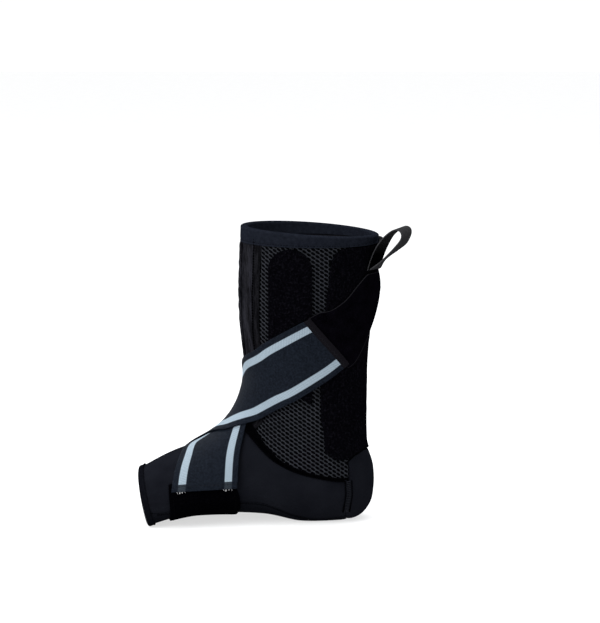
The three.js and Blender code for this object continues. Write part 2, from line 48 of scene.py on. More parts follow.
# Thicknesses, lifts off the boot's surface and widths
WALL = 3.0
SEAM = 0.24
SOLE_INSET = 0.17
BINDING = 0.9
PILE = 1.4
TAPE = 0.6
STRAP = 1.3
STRAP_WIDTH = 50
TAB = 1.1
SOLE_BAND = 1.5
LOOP = 1.1
LOOP_WIDTH = 16
HEM = 6
CUFF_BINDING = {"height": 8.6, "tilt": 3}
TOE_BINDING_HEIGHT = 4
LIFTS = {"pocket": 0.5, "back": 0.7, "flap": 0.5, "tape": 0.8, "band": 0.5, "binding": 0.5}
NET_DEPTH = 0.9

# Sections of the boot's outer surface, from the toe rim round the heel cup to the cuff
COLUMNS = ("front_x", "front_z", "back_x", "back_z", "inner", "outer", "widest",
           "front_power", "back_power", "arch", "ground")
SECTIONS = {
    "toe_rim": (-137, 39.5, -127, -1.5, 45, 45, 0.64, 2.1, 3.2, 0, 1.6),
    "ball": (-112.6, 53, -104, 2, 46, 46, 0.68, 2, 3.2, 6, 2.2),
    "instep": (-87.3, 63, -72, 4, 41, 43, 0.68, 2, 2.8, 12, 2.2),
    "arch": (-71, 73.4, -38, 3, 37, 40, 0.64, 2, 2.6, 8, 1),
    "waist": (-61.6, 83.5, -8, -1.5, 36, 38, 0.6, 2, 2.5, 1, 0),
    "heel_front": (-56.5, 92.2, 18, -1.5, 36, 37, 0.58, 2, 2.4, 0, 0),
    "heel_under": (-53.8, 98.4, 38, 1.5, 36.5, 37, 0.56, 2, 2.2, 0, 0),
    "heel_low": (-52.2, 103.4, 48.5, 12.5, 37, 37, 0.54, 2, 2.1, 0, 0),
    "heel_back": (-50.8, 108.6, 51.5, 27, 37.5, 37.5, 0.52, 2, 2, 0, 0),
    "heel_high": (-50, 114, 51, 42, 38, 38, 0.5, 2, 2, 0, 0),
    "heel_top": (-49.7, 119, 48, 53, 38, 38, 0.5, 2, 2, 0, 0),
    "achilles": (-50, 125, 44, 64, 37, 37, 0.5, 2, 2, 0, 0),
    "ankle": (-52.4, 138, 43.5, 92, 35.5, 35.5, 0.5, 2, 2, 0, 0),
    "shin_low": (-54.6, 158, 44.5, 135, 36, 36, 0.5, 2, 2, 0, 0),
    "shin_mid": (-55.6, 182, 48.5, 170, 40, 40, 0.5, 2, 2, 0, 0),
    "shin_high": (-55, 208, 52, 203, 45, 45, 0.5, 2, 2, 0, 0),
    "cuff": (-54, 236.5, 53.5, 229.4, 49, 49, 0.5, 2, 2, 0, 0),
}
TOE = 0
CUFF = len(SECTIONS) - 1
OUTER_DROP = 0.35

# Seams and edges as [x, z] places in the side view
QUARTER_RIDGE = 4.25
QUARTER_SEAM = [(-53, 77), (-43, 67.5), (-31, 55.5), (-19.5, 48.5), (0, 41.5), (28.8, 36.8)]
HEEL_SEAM = [(30.4, 36), (31, 24), (28.8, 9)]
HEEL_SEAM_UNDER = 5.45
HEEL_CUP_TOP = [(29.4, 49.5), (36.6, 55.6), (43.3, 57.8)]
HEEL_CUP_BACK = 10.45
HEEL_CUP_SIDE = 126
SOLE_SEAM = [(-129, 12.5), (-109, 13.5), (-84, 17), (-57, 19), (-38, 17.5), (-28, 13.8), (-16, 8.4)]
SOLE_SEAM_HEEL = [(4.6, 150), (6, 152)]
SOLE_END = 152
FRONT_EDGE = 40


# Surface of the boot

def lerp(a, b, t):
    return a + (b - a) * t


# Rows with one more at each end, in line with the last two
def with_ends(rows):
    return np.vstack([2 * rows[0] - rows[1], rows, 2 * rows[-1] - rows[-2]])


# At a share t of the way from b to c on the smooth curve through a, b, c and d
def on_curve(a, b, c, d, t):
    return b + 0.5 * t * (c - a + t * (2 * a - 5 * b + 4 * c - d + t * (3 * (b - c) + d - a)))


ROWS = with_ends(np.array(list(SECTIONS.values()), float))


def section(u):
    u = np.asarray(u, float)
    i = np.clip(np.floor(u), 0, CUFF - 1).astype(int)
    row = on_curve(*(ROWS[i + k] for k in range(4)), (u - i)[..., None])
    return dict(zip(COLUMNS, np.moveaxis(row, -1, 0)))


def paired(u, angle):
    return np.broadcast_arrays(np.asarray(u, float), np.asarray(angle, float))


# The point at u, 0 at the toe rim, and at an angle: 0 on the front ridge, 180 behind or under the sole, and
# negative on the inner side. The second value is how far the arch lifts it.
def shell_and_arch(u, angle):
    u, angle = paired(u, angle)
    row = section(u)
    c = np.cos(np.radians(angle))
    s = np.sin(np.radians(angle))
    power = np.where(c > 0, row["front_power"], row["back_power"])
    along = np.abs(c) ** (2 / power)
    across = np.abs(s) ** (2 / power)
    share = np.where(c > 0, row["widest"] * (1 - along), row["widest"] + (1 - row["widest"]) * along)
    x = row["front_x"] + share * (row["back_x"] - row["front_x"])
    y = np.where(s < 0, -row["inner"], row["outer"]) * across
    lift = np.where(s < 0, 1, -OUTER_DROP) * row["arch"] * across * share ** 3
    z = row["front_z"] + share * (row["back_z"] - row["front_z"]) + lift
    return np.stack([x, y, np.maximum(z, np.maximum(row["ground"], 0))], -1), lift


def shell(u, angle):
    return shell_and_arch(u, angle)[0]


def along_boot(u, angle):
    step = 0.01
    low = np.maximum(u - step, TOE)
    high = np.minimum(u + step, CUFF)
    return (shell(high, angle) - shell(low, angle)) / (high - low)[..., None]


def round_boot(u, angle):
    step = 0.4
    return (shell(u, angle + step) - shell(u, angle - step)) / (2 * step)


def unit(vectors):
    return vectors / np.maximum(np.linalg.norm(vectors, axis=-1, keepdims=True), 1e-9)


def outward(u, angle):
    u, angle = paired(u, angle)
    return unit(np.cross(along_boot(u, angle), round_boot(u, angle)))


def raised(u, angle, lift):
    return shell(u, angle) + outward(u, angle) * np.asarray(lift, float)[..., None]


def move_u(u, angle, distance):
    u, angle = paired(u, angle)
    return u + distance / np.linalg.norm(along_boot(u, angle), axis=-1)


def move_angle(u, angle, distance):
    u, angle = paired(u, angle)
    return angle + distance / np.linalg.norm(round_boot(u, angle), axis=-1)


# Where side-view places, or points near the surface, lie on it
GUESSES = np.linspace(TOE, CUFF, 161)
HALVINGS = 24
BATCH = 3000
ARCH_ROUNDS = {"points": 4, "side_view": 10}


def chord(u, x, z):
    row = section(u)
    dx = row["back_x"] - row["front_x"]
    dz = row["back_z"] - row["front_z"]
    beside = dx * (z - row["front_z"]) - dz * (x - row["front_x"])
    share = ((x - row["front_x"]) * dx + (z - row["front_z"]) * dz) / (dx * dx + dz * dz)
    return beside, share


def settle_u(x, z):
    beside, share = chord(GUESSES[:, None], x, z)
    middle = (share[:-1] + share[1:]) / 2
    miss = np.maximum(np.maximum(-middle, middle - 1), 0)
    miss[beside[:-1] * beside[1:] > 0] = np.inf
    best = miss.argmin(axis=0)
    low = GUESSES[best]
    high = GUESSES[best + 1]
    for _ in range(HALVINGS):
        half = (low + high) / 2
        left = chord(low, x, z)[0] * chord(half, x, z)[0] <= 0
        low, high = np.where(left, low, half), np.where(left, half, high)
    return (low + high) / 2


def settle(x, z, y=None):
    x, z = (np.asarray(v, float) for v in (x, z))
    flat_x, flat_z = x.ravel(), z.ravel()
    parts = [slice(k, k + BATCH) for k in range(0, flat_x.size, BATCH)]
    u = np.concatenate([settle_u(flat_x[p], flat_z[p]) for p in parts]).reshape(x.shape)
    row = section(u)
    share = np.clip(chord(u, x, z)[1], 0, 1)
    widest = row["widest"]
    front = share < widest
    power = np.where(front, row["front_power"], row["back_power"])
    reach = np.where(front, (widest - share) / widest, (share - widest) / (1 - widest))
    c = np.where(front, 1, -1) * np.maximum(reach, 0) ** (power / 2)
    if y is None:
        s = np.sqrt(np.maximum(1 - c * c, 0))
    else:
        half = np.where(y < 0, row["inner"], row["outer"])
        s = np.sign(y) * np.abs(y / half) ** (power / 2)
    return u, np.degrees(np.arctan2(s, c))


# Where points near the surface lie on it, with the lift of the arch taken off first
def settle_points(points):
    x, y, z = np.moveaxis(points, -1, 0)
    u, angle = settle(x, z, y)
    for _ in range(ARCH_ROUNDS["points"]):
        u, angle = settle(x, z - shell_and_arch(u, angle)[1], y)
    return u, angle


def side_view(places):
    x, z = np.array(places, float).T
    return settle(x, z)


# Where side-view places on the arched inner side lie
def arch_view(places):
    x, z = np.array(places, float).T
    u, angle = settle(x, z)
    for _ in range(ARCH_ROUNDS["side_view"]):
        u, angle = settle(x, z - shell_and_arch(u, -angle)[1])
    return u, angle


SHAFT_LOW = CUFF - 8.0
SHAFT_HALVINGS = 40


# u at an angle and a height on the shaft
def on_shaft(angle, z):
    low = np.full(np.shape(angle), SHAFT_LOW)
    high = np.full(np.shape(angle), float(CUFF))
    for _ in range(SHAFT_HALVINGS):
        half = (low + high) / 2
        below = shell(half, angle)[..., 2] < z
        low, high = np.where(below, half, low), np.where(below, high, half)
    return (low + high) / 2


# A smooth function through pairs in rising order, level past both ends
def through(pairs):
    xs, ys = np.array(pairs, float).T
    place = np.arange(len(xs))
    before = np.maximum(place - 1, 0)
    after = np.minimum(place + 1, len(xs) - 1)
    slopes = (ys[after] - ys[before]) / (xs[after] - xs[before])

    def at(x):
        x = np.clip(x, xs[0], xs[-1])
        i = np.clip(np.searchsorted(xs, x) - 1, 0, len(xs) - 2)
        width = xs[i + 1] - xs[i]
        t = (x - xs[i]) / width
        bend = (1 - t) ** 2 * t * slopes[i] * width - t * t * (1 - t) * slopes[i + 1] * width
        return ys[i] * (1 + 2 * t) * (1 - t) ** 2 + ys[i + 1] * t * t * (3 - 2 * t) + bend

    return at


def angle_to_u(places):
    u, angle = side_view(places)
    return list(zip(angle, u))


def u_to_angle(places):
    u, angle = arch_view(places)
    return list(zip(u, angle))


quarter_seam = through([(0, QUARTER_RIDGE)] + angle_to_u(QUARTER_SEAM))
heel_seam = through(angle_to_u(HEEL_SEAM) + [(180, HEEL_SEAM_UNDER)])
heel_cup_top = through(angle_to_u(HEEL_CUP_TOP) + [(180, HEEL_CUP_BACK)])
sole_seam = through(u_to_angle(SOLE_SEAM) + SOLE_SEAM_HEEL)


def fold(angle):
    angle = np.abs(angle)
    return np.where(angle > 180, 360 - angle, angle)


def foot_top(angle):
    angle = fold(angle)
    return np.where(angle < HEEL_CUP_SIDE, quarter_seam(angle), heel_seam(angle))


# Lower edges of the bindings
def cuff_low(angle):
    height = CUFF_BINDING["height"] + CUFF_BINDING["tilt"] * np.cos(np.radians(angle))
    return move_u(np.full(np.shape(angle), float(CUFF)), angle, -height)


def toe_low(angle):
    return move_u(np.full(np.shape(angle), float(TOE)), angle, TOE_BINDING_HEIGHT)


def ease(t):
    t = np.clip(t, 0, 1)
    return t * t * (3 - 2 * t)


# Cloth meshes

def grid(columns, rows):
    return np.meshgrid(np.linspace(0, 1, columns + 1), np.linspace(0, 1, rows + 1))


# Distances over a grid of points, from its middle column and its middle row
def flat_lengths(points):
    across = np.cumsum(np.linalg.norm(np.diff(points, axis=1, prepend=points[:, :1]), axis=-1), axis=1)
    along = np.cumsum(np.linalg.norm(np.diff(points, axis=0, prepend=points[:1]), axis=-1), axis=0)
    across -= across[:, across.shape[1] // 2][:, None]
    along -= along[along.shape[0] // 2]
    return across, along


# Distance from the nearest of the named edges of a grid: left, right, bottom or top
def from_edges(points, edges="lrbt"):
    across, along = flat_lengths(points)
    found = {"l": across - across[:, :1], "r": across[:, -1:] - across,
             "b": along - along[:1], "t": along[-1:] - along}
    return np.min([found[edge] for edge in edges], axis=0)


def run_along(points):
    return np.append(0, np.cumsum(np.linalg.norm(np.diff(points, axis=0), axis=1)))


def point_tree(points):
    tree = KDTree(len(points))
    for k, point in enumerate(points):
        tree.insert(point, k)
    tree.balance()
    return tree


# How far a surface is drawn in where it is sewn down, for a distance from its stitching
def drawn_in(distance, depth, reach):
    return -depth * np.exp(-(distance / reach) ** 2)


def soft_folds(points, size, height):
    values = [noise.noise(Vector(p) / size) for p in points.reshape(-1, 3)]
    return height * np.array(values).reshape(points.shape[:-1])


# Puts a grid's vertices on points. Its UV maps hold the measures of its cut: across and along from the
# middle, and from both ends. A woven piece can give its own measure across.
def lay_grid(bm, points, measure):
    rows, columns = points.shape[:2]
    across, along = flat_lengths(points)
    if measure is not None:
        across = measure
    cut_map = bm.loops.layers.uv.new("UVMap")
    end_map = bm.loops.layers.uv.new("Ends")
    row = bm.verts.layers.int.new("row")
    column = bm.verts.layers.int.new("column")
    for vert in bm.verts:
        vert[row] = round((vert.co.y + 0.5) * (rows - 1))
        vert[column] = round((vert.co.x + 0.5) * (columns - 1))
        vert.co = points[vert[row], vert[column]] * MM
    for face in bm.faces:
        for loop in face.loops:
            i, j = loop.vert[row], loop.vert[column]
            loop[cut_map].uv = (across[i, j] * MM, along[i, j] * MM)
            loop[end_map].uv = ((along[i, j] - along[0, j]) * MM, (along[-1, j] - along[i, j]) * MM)
    return row, column


# A sheet of cloth between its face and its underside, two grids of points, and round where its columns meet.
# Its rim and its back each get one of the piece's materials.
def cloth(face_points, under_points, edge=0.3, is_round=False, rim=0, back=0, measure=None):
    rows, columns = face_points.shape[:2]
    bm = bmesh.new()
    bmesh.ops.create_grid(bm, x_segments=columns - 1, y_segments=rows - 1, size=0.5)
    row, column = lay_grid(bm, face_points, measure)
    if is_round:
        bmesh.ops.remove_doubles(bm, verts=bm.verts[:], dist=0.00001)
    made = bmesh.ops.extrude_face_region(bm, geom=bm.faces[:], use_keep_orig=True)["geom"]
    under = {item for item in made if isinstance(item, bmesh.types.BMVert)}
    for vert in under:
        vert.co = under_points[vert[row], vert[column]] * MM
    bmesh.ops.recalc_face_normals(bm, faces=bm.faces[:])
    walls = {f for f in bm.faces if 0 < sum(v in under for v in f.verts) < len(f.verts)}
    for face in bm.faces:
        if all(vert in under for vert in face.verts):
            face.material_index = back
    for wall in walls:
        wall.material_index = rim
    sharp = [e for e in bm.edges if sum(f in walls for f in e.link_faces) == 1]
    bmesh.ops.bevel(bm, geom=sharp, offset=edge * MM, offset_type="OFFSET", segments=2, profile=0.5,
                    affect="EDGES", clamp_overlap=True, material=-1)
    return bm


# A cloth on the boot from a lift of its face down by its thickness
def lifted_cloth(u, angle, lift, thickness, edge=0.3, rim=0, measure=None):
    return cloth(raised(u, angle, lift), raised(u, angle, lift - thickness), edge, rim=rim, measure=measure)


def solid_object(name, bm, materials):
    mesh = bpy.data.meshes.new(name)
    bm.normal_update()
    bm.to_mesh(mesh)
    bm.free()
    for material in materials:
        mesh.materials.append(material)
    mesh.polygons.foreach_set("use_smooth", np.ones(len(mesh.polygons), bool))
    piece = bpy.data.objects.new(name, mesh)
    bpy.context.scene.collection.objects.link(piece)
    return piece


def dress(name, bm, materials, slot, *nodes):
    piece = solid_object(name, bm, materials)
    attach(piece, "root")
    if nodes:
        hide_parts(*nodes)
    return piece


# Layers that lie on the boot, so that a strap can be laid over what is already there. A layer reaches this
# share of its grid's spacing past its own points.
LAYER_REACH = 0.75
layers = []


def lay_down(u, angle, top):
    flat = shell(u, angle)
    width = np.median(np.linalg.norm(np.diff(flat, axis=1), axis=-1))
    length = np.median(np.linalg.norm(np.diff(flat, axis=0), axis=-1))
    tops = np.broadcast_to(top, u.shape).ravel()
    reach = LAYER_REACH * max(width, length)
    layers.append((point_tree(flat.reshape(-1, 3)), tops, from_edges(flat).ravel(), reach))


# The highest layer at each point, looking only at places that are further than an inset from a layer's edge
def layer_top(points, inset=0.0):
    top = np.zeros(len(points))
    for k, point in enumerate(points):
        for tree, tops, edges, reach in layers:
            _, index, distance = tree.find(point)
            if distance < reach and edges[index] >= inset:
                top[k] = max(top[k], tops[index])
    return top


# Lifts of a cloth laid over the layers under it, eased where it comes down from one
def drape(u, angle, gap, rounds):
    floor = layer_top(shell(u, angle).reshape(-1, 3)).reshape(u.shape) + gap
    lift = floor.copy()
    for _ in range(rounds):
        wide = np.pad(lift, 1, mode="edge")
        mean = (wide[:-2, 1:-1] + wide[2:, 1:-1] + wide[1:-1, :-2] + wide[1:-1, 2:]) / 4
        lift = np.maximum(floor, (lift + mean) / 2)
    return lift


# Shader helpers

def add(tree, kind, inputs=None, **settings):
    node = tree.nodes.new(kind)
    for name, value in settings.items():
        setattr(node, name, value)
    for socket, value in (inputs or {}).items():
        if isinstance(value, bpy.types.NodeSocket):
            tree.links.new(value, node.inputs[socket])
        else:
            node.inputs[socket].default_value = value
    return node


def math_node(tree, operation, *values):
    return add(tree, "ShaderNodeMath", dict(enumerate(values)), operation=operation).outputs[0]


def mix_colour(tree, factor, first, second):
    node = add(tree, "ShaderNodeMix", {0: factor, 6: first, 7: second}, data_type="RGBA")
    return node.outputs[2]


def new_group(name, inputs, outputs):
    group = bpy.data.node_groups.new(name, "ShaderNodeTree")
    for label, kind, value in inputs:
        socket = group.interface.new_socket(label, in_out="INPUT", socket_type=kind)
        if value is not None:
            socket.default_value = value
    for label in outputs:
        group.interface.new_socket(label, in_out="OUTPUT", socket_type="NodeSocketFloat")
    entry = group.nodes.new("NodeGroupInput")
    way_out = group.nodes.new("NodeGroupOutput")
    return group, entry.outputs, way_out


# Crossed threads at a pitch across and along, in the units of the vector
def thread_weave_group():
    group, given, way_out = new_group("thread_weave", [
        ("Vector", "NodeSocketVector", None), ("Across", "NodeSocketFloat", 1.0),
        ("Along", "NodeSocketFloat", 1.0)], ["Height", "Valley"])
    parts = add(group, "ShaderNodeSeparateXYZ", {0: given["Vector"]})
    waves = []
    for axis, pitch in ((0, "Across"), (1, "Along")):
        turns = math_node(group, "DIVIDE", parts.outputs[axis], given[pitch])
        waves.append(math_node(group, "SINE", math_node(group, "MULTIPLY", turns, math.tau)))
    crossed = math_node(group, "MULTIPLY", waves[0], waves[1])
    height = math_node(group, "MULTIPLY_ADD", crossed, 0.5, 0.5)
    valley = math_node(group, "GREATER_THAN", crossed, 0.55)
    group.links.new(height, way_out.inputs["Height"])
    group.links.new(valley, way_out.inputs["Valley"])
    return group


def cloud_noise(group, given):
    inputs = {"Vector": given["Vector"], "Scale": given["Per unit"], "Detail": 3.0}
    return add(group, "ShaderNodeTexNoise", inputs)


# A value's place between low and high, as a number between first and last
def spread(tree, value, low, high, first=0.0, last=1.0):
    return add(tree, "ShaderNodeMapRange", {0: value, 1: low, 2: high, 3: first, 4: last}).outputs[0]


# Small tufts of pile of about a given size, with a few pale fibre ends
def pile_tufts_group():
    group, given, way_out = new_group("pile_tufts", [
        ("Vector", "NodeSocketVector", None), ("Per unit", "NodeSocketFloat", 800.0)], ["Height", "Speck"])
    cells = add(group, "ShaderNodeTexVoronoi", {"Vector": given["Vector"], "Scale": given["Per unit"]})
    cloud = cloud_noise(group, given)
    height = math_node(group, "SUBTRACT", cloud.outputs["Fac"], cells.outputs["Distance"])
    speck = spread(group, cloud.outputs["Fac"], 0.5, 0.76, 0.0, 0.8)
    group.links.new(height, way_out.inputs["Height"])
    group.links.new(speck, way_out.inputs["Speck"])
    return group


# Clouds of tone over a cloth, from 0 to 1
def tone_drift_group():
    group, given, way_out = new_group("tone_drift", [
        ("Vector", "NodeSocketVector", None), ("Per unit", "NodeSocketFloat", 45.0)], ["Cloud"])
    cloud = cloud_noise(group, given)
    group.links.new(spread(group, cloud.outputs["Fac"], 0.3, 0.7), way_out.inputs["Cloud"])
    return group


THREAD_WEAVE = thread_weave_group()
PILE_TUFTS = pile_tufts_group()
TONE_DRIFT = tone_drift_group()


def place_group(tree, group, inputs):
    return add(tree, "ShaderNodeGroup", inputs, node_tree=group)


# A cloth material, its shader and the vectors that its pattern reads: object space and the cut's millimetres
class Cloth:
    def __init__(self, name, roughness, specular=0.0):
        self.material = bpy.data.materials.new(name)
        self.material.use_nodes = True
        self.tree = self.material.node_tree
        self.shader = self.tree.nodes["Principled BSDF"]
        self.shader.inputs["Roughness"].default_value = roughness
        self.shader.inputs["Specular IOR Level"].default_value = specular
        self.space = add(self.tree, "ShaderNodeTexCoord").outputs["Object"]

    def cut(self, turn=0.0, uv_map="UVMap"):
        uv = add(self.tree, "ShaderNodeUVMap", uv_map=uv_map).outputs[0]
        inputs = {0: uv, "Scale": (1 / MM, 1 / MM, 1 / MM), "Rotation": (0, 0, turn)}
        return add(self.tree, "ShaderNodeMapping", inputs).outputs[0]

    def colour(self, socket):
        self.tree.links.new(socket, self.shader.inputs["Base Color"])

    def drift(self, dark, pale, clouds_per_metre=45.0):
        clouds = place_group(self.tree, TONE_DRIFT, {"Vector": self.space, "Per unit": clouds_per_metre})
        return mix_colour(self.tree, clouds.outputs["Cloud"], dark, pale)

    def weave(self, across, along, turn=0.0):
        inputs = {"Vector": self.cut(turn), "Across": across, "Along": along}
        return place_group(self.tree, THREAD_WEAVE, inputs).outputs

    def bump(self, height, distance):
        inputs = {"Height": height, "Distance": distance * MM, "Strength": 1.0}
        node = add(self.tree, "ShaderNodeBump", inputs)
        self.tree.links.new(node.outputs[0], self.shader.inputs["Normal"])


def rgb(red, green, blue):
    return (red, green, blue, 1.0)


# Materials

# Threads of a weave: pitch across and along, clouds of tone in a metre, and relief, all but the clouds in mm
KNIT = {"across": 0.9, "along": 0.7, "clouds": 45.0, "relief": 0.12}
BRAID = {"across": 1.4, "along": 0.8, "clouds": 320.0, "relief": 0.2}


def woven_material(name, threads, dark, pale, groove):
    look = Cloth(name, 0.6)
    weave = look.weave(threads["across"], threads["along"])
    tone = look.drift(dark, pale, threads["clouds"])
    look.colour(mix_colour(look.tree, weave["Valley"], tone, groove))
    look.bump(weave["Height"], threads["relief"])
    return look.material


def lining_material():
    look = Cloth("brushed_lining", 0.9, 0.02)
    tufts = place_group(look.tree, PILE_TUFTS, {"Vector": look.space, "Per unit": 900.0})
    look.colour(look.drift(rgb(0.00476, 0.00476, 0.00655), rgb(0.00893, 0.00893, 0.0113)))
    look.bump(tufts.outputs["Height"], 0.15)
    return look.material


def pile_material(name, dark, pale, speck, tufts_per_metre, drop, clouds_per_metre=380.0):
    look = Cloth(name, 0.95)
    tree = look.tree
    tufts = place_group(tree, PILE_TUFTS, {"Vector": look.space, "Per unit": tufts_per_metre})
    tone = look.drift(dark, pale, clouds_per_metre)
    look.colour(mix_colour(tree, tufts.outputs["Speck"], tone, speck))
    look.bump(tufts.outputs["Height"], drop)
    return look.material


# Brushed velour: pale fibres drawn out lengthwise, crushed in patches
def velour_material(name, dark, pale):
    look = Cloth(name, 0.9, 0.01)
    tree = look.tree
    drawn = add(tree, "ShaderNodeMapping", {0: look.cut(), "Scale": (1.0, 0.22, 1.0)}).outputs[0]
    strands = {"Vector": drawn, "Scale": 0.6, "Detail": 5.0, "Roughness": 0.65}
    fibres = add(tree, "ShaderNodeTexNoise", strands)
    crush = add(tree, "ShaderNodeTexNoise", {"Vector": drawn, "Scale": 0.17, "Detail": 2.0})
    both = math_node(tree, "ADD", fibres.outputs["Fac"], crush.outputs["Fac"])
    look.colour(mix_colour(tree, spread(tree, both, 0.86, 1.16), dark, pale))
    look.bump(fibres.outputs["Fac"], 0.8)
    return look.material


def net_yarn_material():
    look = Cloth("net_yarn", 0.7, 0.02)
    tree = look.tree
    fibres = add(tree, "ShaderNodeTexNoise", {"Vector": look.space, "Scale": 2500.0, "Detail": 2.0})
    tone = look.drift(rgb(0.0152, 0.0166, 0.0208), rgb(0.0325, 0.035, 0.043), 260.0)
    look.colour(mix_colour(tree, fibres.outputs["Fac"], rgb(0.00643, 0.00678, 0.00785), tone))
    look.bump(fibres.outputs["Fac"], 0.15)
    return look.material


def backing_material():
    look = Cloth("mesh_backing", 0.95)
    look.colour(look.drift(rgb(0.000765, 0.000765, 0.0011), rgb(0.00153, 0.00153, 0.00213)))
    look.bump(look.weave(1.1, 1.1)["Height"], 0.2)
    return look.material


# Stripes of the elastic: off its middle, half width, softness of the edge and dulling in the lower hem
STRIPE = {"middle": 17.6, "half": 2.85, "soft": 0.25, "hem_shade": 0.93}


# Woven elastic: dark ribs and two pale stripes, a dull upper hem and dulled stripes in the lower hem
def elastic_material():
    look = Cloth("striped_elastic", 0.6, 0.015)
    tree = look.tree
    across = add(tree, "ShaderNodeSeparateXYZ", {0: look.cut()}).outputs[0]
    ends = add(tree, "ShaderNodeSeparateXYZ", {0: look.cut(uv_map="Ends")})
    off_middle = math_node(tree, "SUBTRACT", math_node(tree, "ABSOLUTE", across), STRIPE["middle"])
    off_stripe = math_node(tree, "ABSOLUTE", off_middle)
    inside = STRIPE["half"] - STRIPE["soft"]
    outside = STRIPE["half"] + STRIPE["soft"]
    stripe = spread(tree, off_stripe, inside, outside, 1.0, 0.0)
    lower_hem = math_node(tree, "LESS_THAN", ends.outputs[0], HEM)
    upper_hem = math_node(tree, "LESS_THAN", ends.outputs[1], HEM)
    stripe = math_node(tree, "MULTIPLY", stripe, math_node(tree, "SUBTRACT", 1.0, upper_hem))
    dulled = math_node(tree, "MULTIPLY_ADD", lower_hem, -STRIPE["hem_shade"], 1.0)
    stripe = math_node(tree, "MULTIPLY", stripe, dulled)
    ribs = look.weave(1.6, 1.5)
    dark = look.drift(rgb(0.0024, 0.0034, 0.0056), rgb(0.0072, 0.0098, 0.0152), 700.0)
    ground = mix_colour(tree, ribs["Valley"], dark, rgb(0.0018, 0.0026, 0.0044))
    ground = mix_colour(tree, upper_hem, ground, rgb(0.0034, 0.003, 0.0042))
    pale = mix_colour(tree, ribs["Valley"], rgb(0.205, 0.254, 0.295), rgb(0.079, 0.102, 0.125))
    look.colour(mix_colour(tree, stripe, ground, pale))
    look.bump(look.weave(1.0, 1.7)["Height"], 0.15)
    return look.material


# Heights between which the webbing of the pull loops turns to a paler colour towards the top: painted light,
# standing in for light that falls inside the loop
PAINTED_LIGHT_FROM = 216.0
PAINTED_LIGHT_TO = 238.0


def webbing_material(name, dark, pale, groove, painted_light):
    look = Cloth(name, 0.7)
    tree = look.tree
    height = add(tree, "ShaderNodeSeparateXYZ", {0: look.space}).outputs["Z"]
    painted_light_share = spread(tree, height, PAINTED_LIGHT_FROM * MM, PAINTED_LIGHT_TO * MM)
    weave = look.weave(1.3, 1.3, math.radians(45))
    # Painted light: the webbing's colour is mixed towards the painted-light colour higher up
    tone = mix_colour(tree, painted_light_share, look.drift(dark, pale, 500.0), painted_light)
    look.colour(mix_colour(tree, weave["Valley"], tone, groove))
    look.bump(weave["Height"], 0.3)
    return look.material


def thread_material(name, dark, pale):
    look = Cloth(name, 0.55)
    strands = add(look.tree, "ShaderNodeTexNoise", {"Vector": look.space, "Scale": 4000.0})
    look.colour(mix_colour(look.tree, strands.outputs["Fac"], dark, pale))
    look.bump(strands.outputs["Fac"], 0.08)
    return look.material


NEOPRENE = woven_material("neoprene_jersey", KNIT, rgb(0.0039, 0.0043, 0.0062), rgb(0.0062, 0.0068, 0.0093),
                          rgb(0.0027, 0.0029, 0.0042))
# Painted shade: a darker copy of the neoprene jersey, with darker grooves, for the sole panel on the boot's
# underside
SHADED_SOLE_NEOPRENE = woven_material("sole_neoprene_painted_shade", KNIT, rgb(0.0032, 0.0035, 0.005), rgb(0.0049, 0.0054, 0.0074),
                               rgb(0.0009, 0.001, 0.0016))
LINING = lining_material()
PILE_LOOK = pile_material("loop_pile", rgb(0.00048, 0.00042, 0.00076), rgb(0.0011, 0.001, 0.0017),
                          rgb(0.0042, 0.0039, 0.0056), 620.0, 0.5)
BAND_LOOK = pile_material("band_pile", rgb(0.00022, 0.00022, 0.00045), rgb(0.00045, 0.00045, 0.00075),
                          rgb(0.0012, 0.0012, 0.0018), 900.0, 0.3)
HOOK_LOOK = pile_material("hook_backing", rgb(0.00035, 0.0003, 0.00065), rgb(0.0012, 0.001, 0.0019),
                          rgb(0.0022, 0.0018, 0.0033), 900.0, 0.3, 130.0)
VELOUR = velour_material("front_velour", rgb(0.0023, 0.0023, 0.0031), rgb(0.0104, 0.0104, 0.0136))
LAP_VELOUR = velour_material("lap_velour", rgb(0.0012, 0.0012, 0.00162), rgb(0.0063, 0.0063, 0.0078))
NET_YARN = net_yarn_material()
BACKING = backing_material()
BINDING_LOOK = woven_material("stretch_binding", BRAID, rgb(0.005, 0.006, 0.0092),
                              rgb(0.0085, 0.0101, 0.0149), rgb(0.0033, 0.004, 0.0064))
TAPE_LOOK = woven_material("seam_tape", BRAID, rgb(0.000204, 0.000204, 0.00034),
                           rgb(0.00068, 0.00068, 0.00102), rgb(0.00017, 0.00017, 0.000272))
TOE_LOOK = woven_material("toe_edge", BRAID, rgb(0.00187, 0.00207, 0.00315), rgb(0.00323, 0.00357, 0.0051),
                          rgb(0.00129, 0.00143, 0.00214))
ELASTIC = elastic_material()
# The last colour of each webbing is the painted light that pales it towards the top
WEBBING = webbing_material("pull_webbing", rgb(0.011, 0.011, 0.0122), rgb(0.025, 0.025, 0.027),
                           rgb(0.005, 0.005, 0.0055), rgb(0.022, 0.022, 0.0238))
WEBBING_BACK = webbing_material("pull_webbing_back", rgb(0.0004, 0.0004, 0.0005), rgb(0.0012, 0.0012, 0.0014),
                                rgb(0.00025, 0.00025, 0.0003), rgb(0.022, 0.022, 0.0238))
SHADE_THREAD = thread_material("seam_thread", rgb(0.00017, 0.00017, 0.000272), rgb(0.00068, 0.00068, 0.00102))
DARK_THREAD = thread_material("dark_thread", rgb(0.000714, 0.000714, 0.00102), rgb(0.00224, 0.00224, 0.00306))
FLAT_THREAD = thread_material("flat_seam_thread", rgb(0.0078, 0.0085, 0.011), rgb(0.0165, 0.018, 0.023))
GREY_THREAD = thread_material("grey_thread", rgb(0.0051, 0.0051, 0.00637), rgb(0.0119, 0.0119, 0.0145))
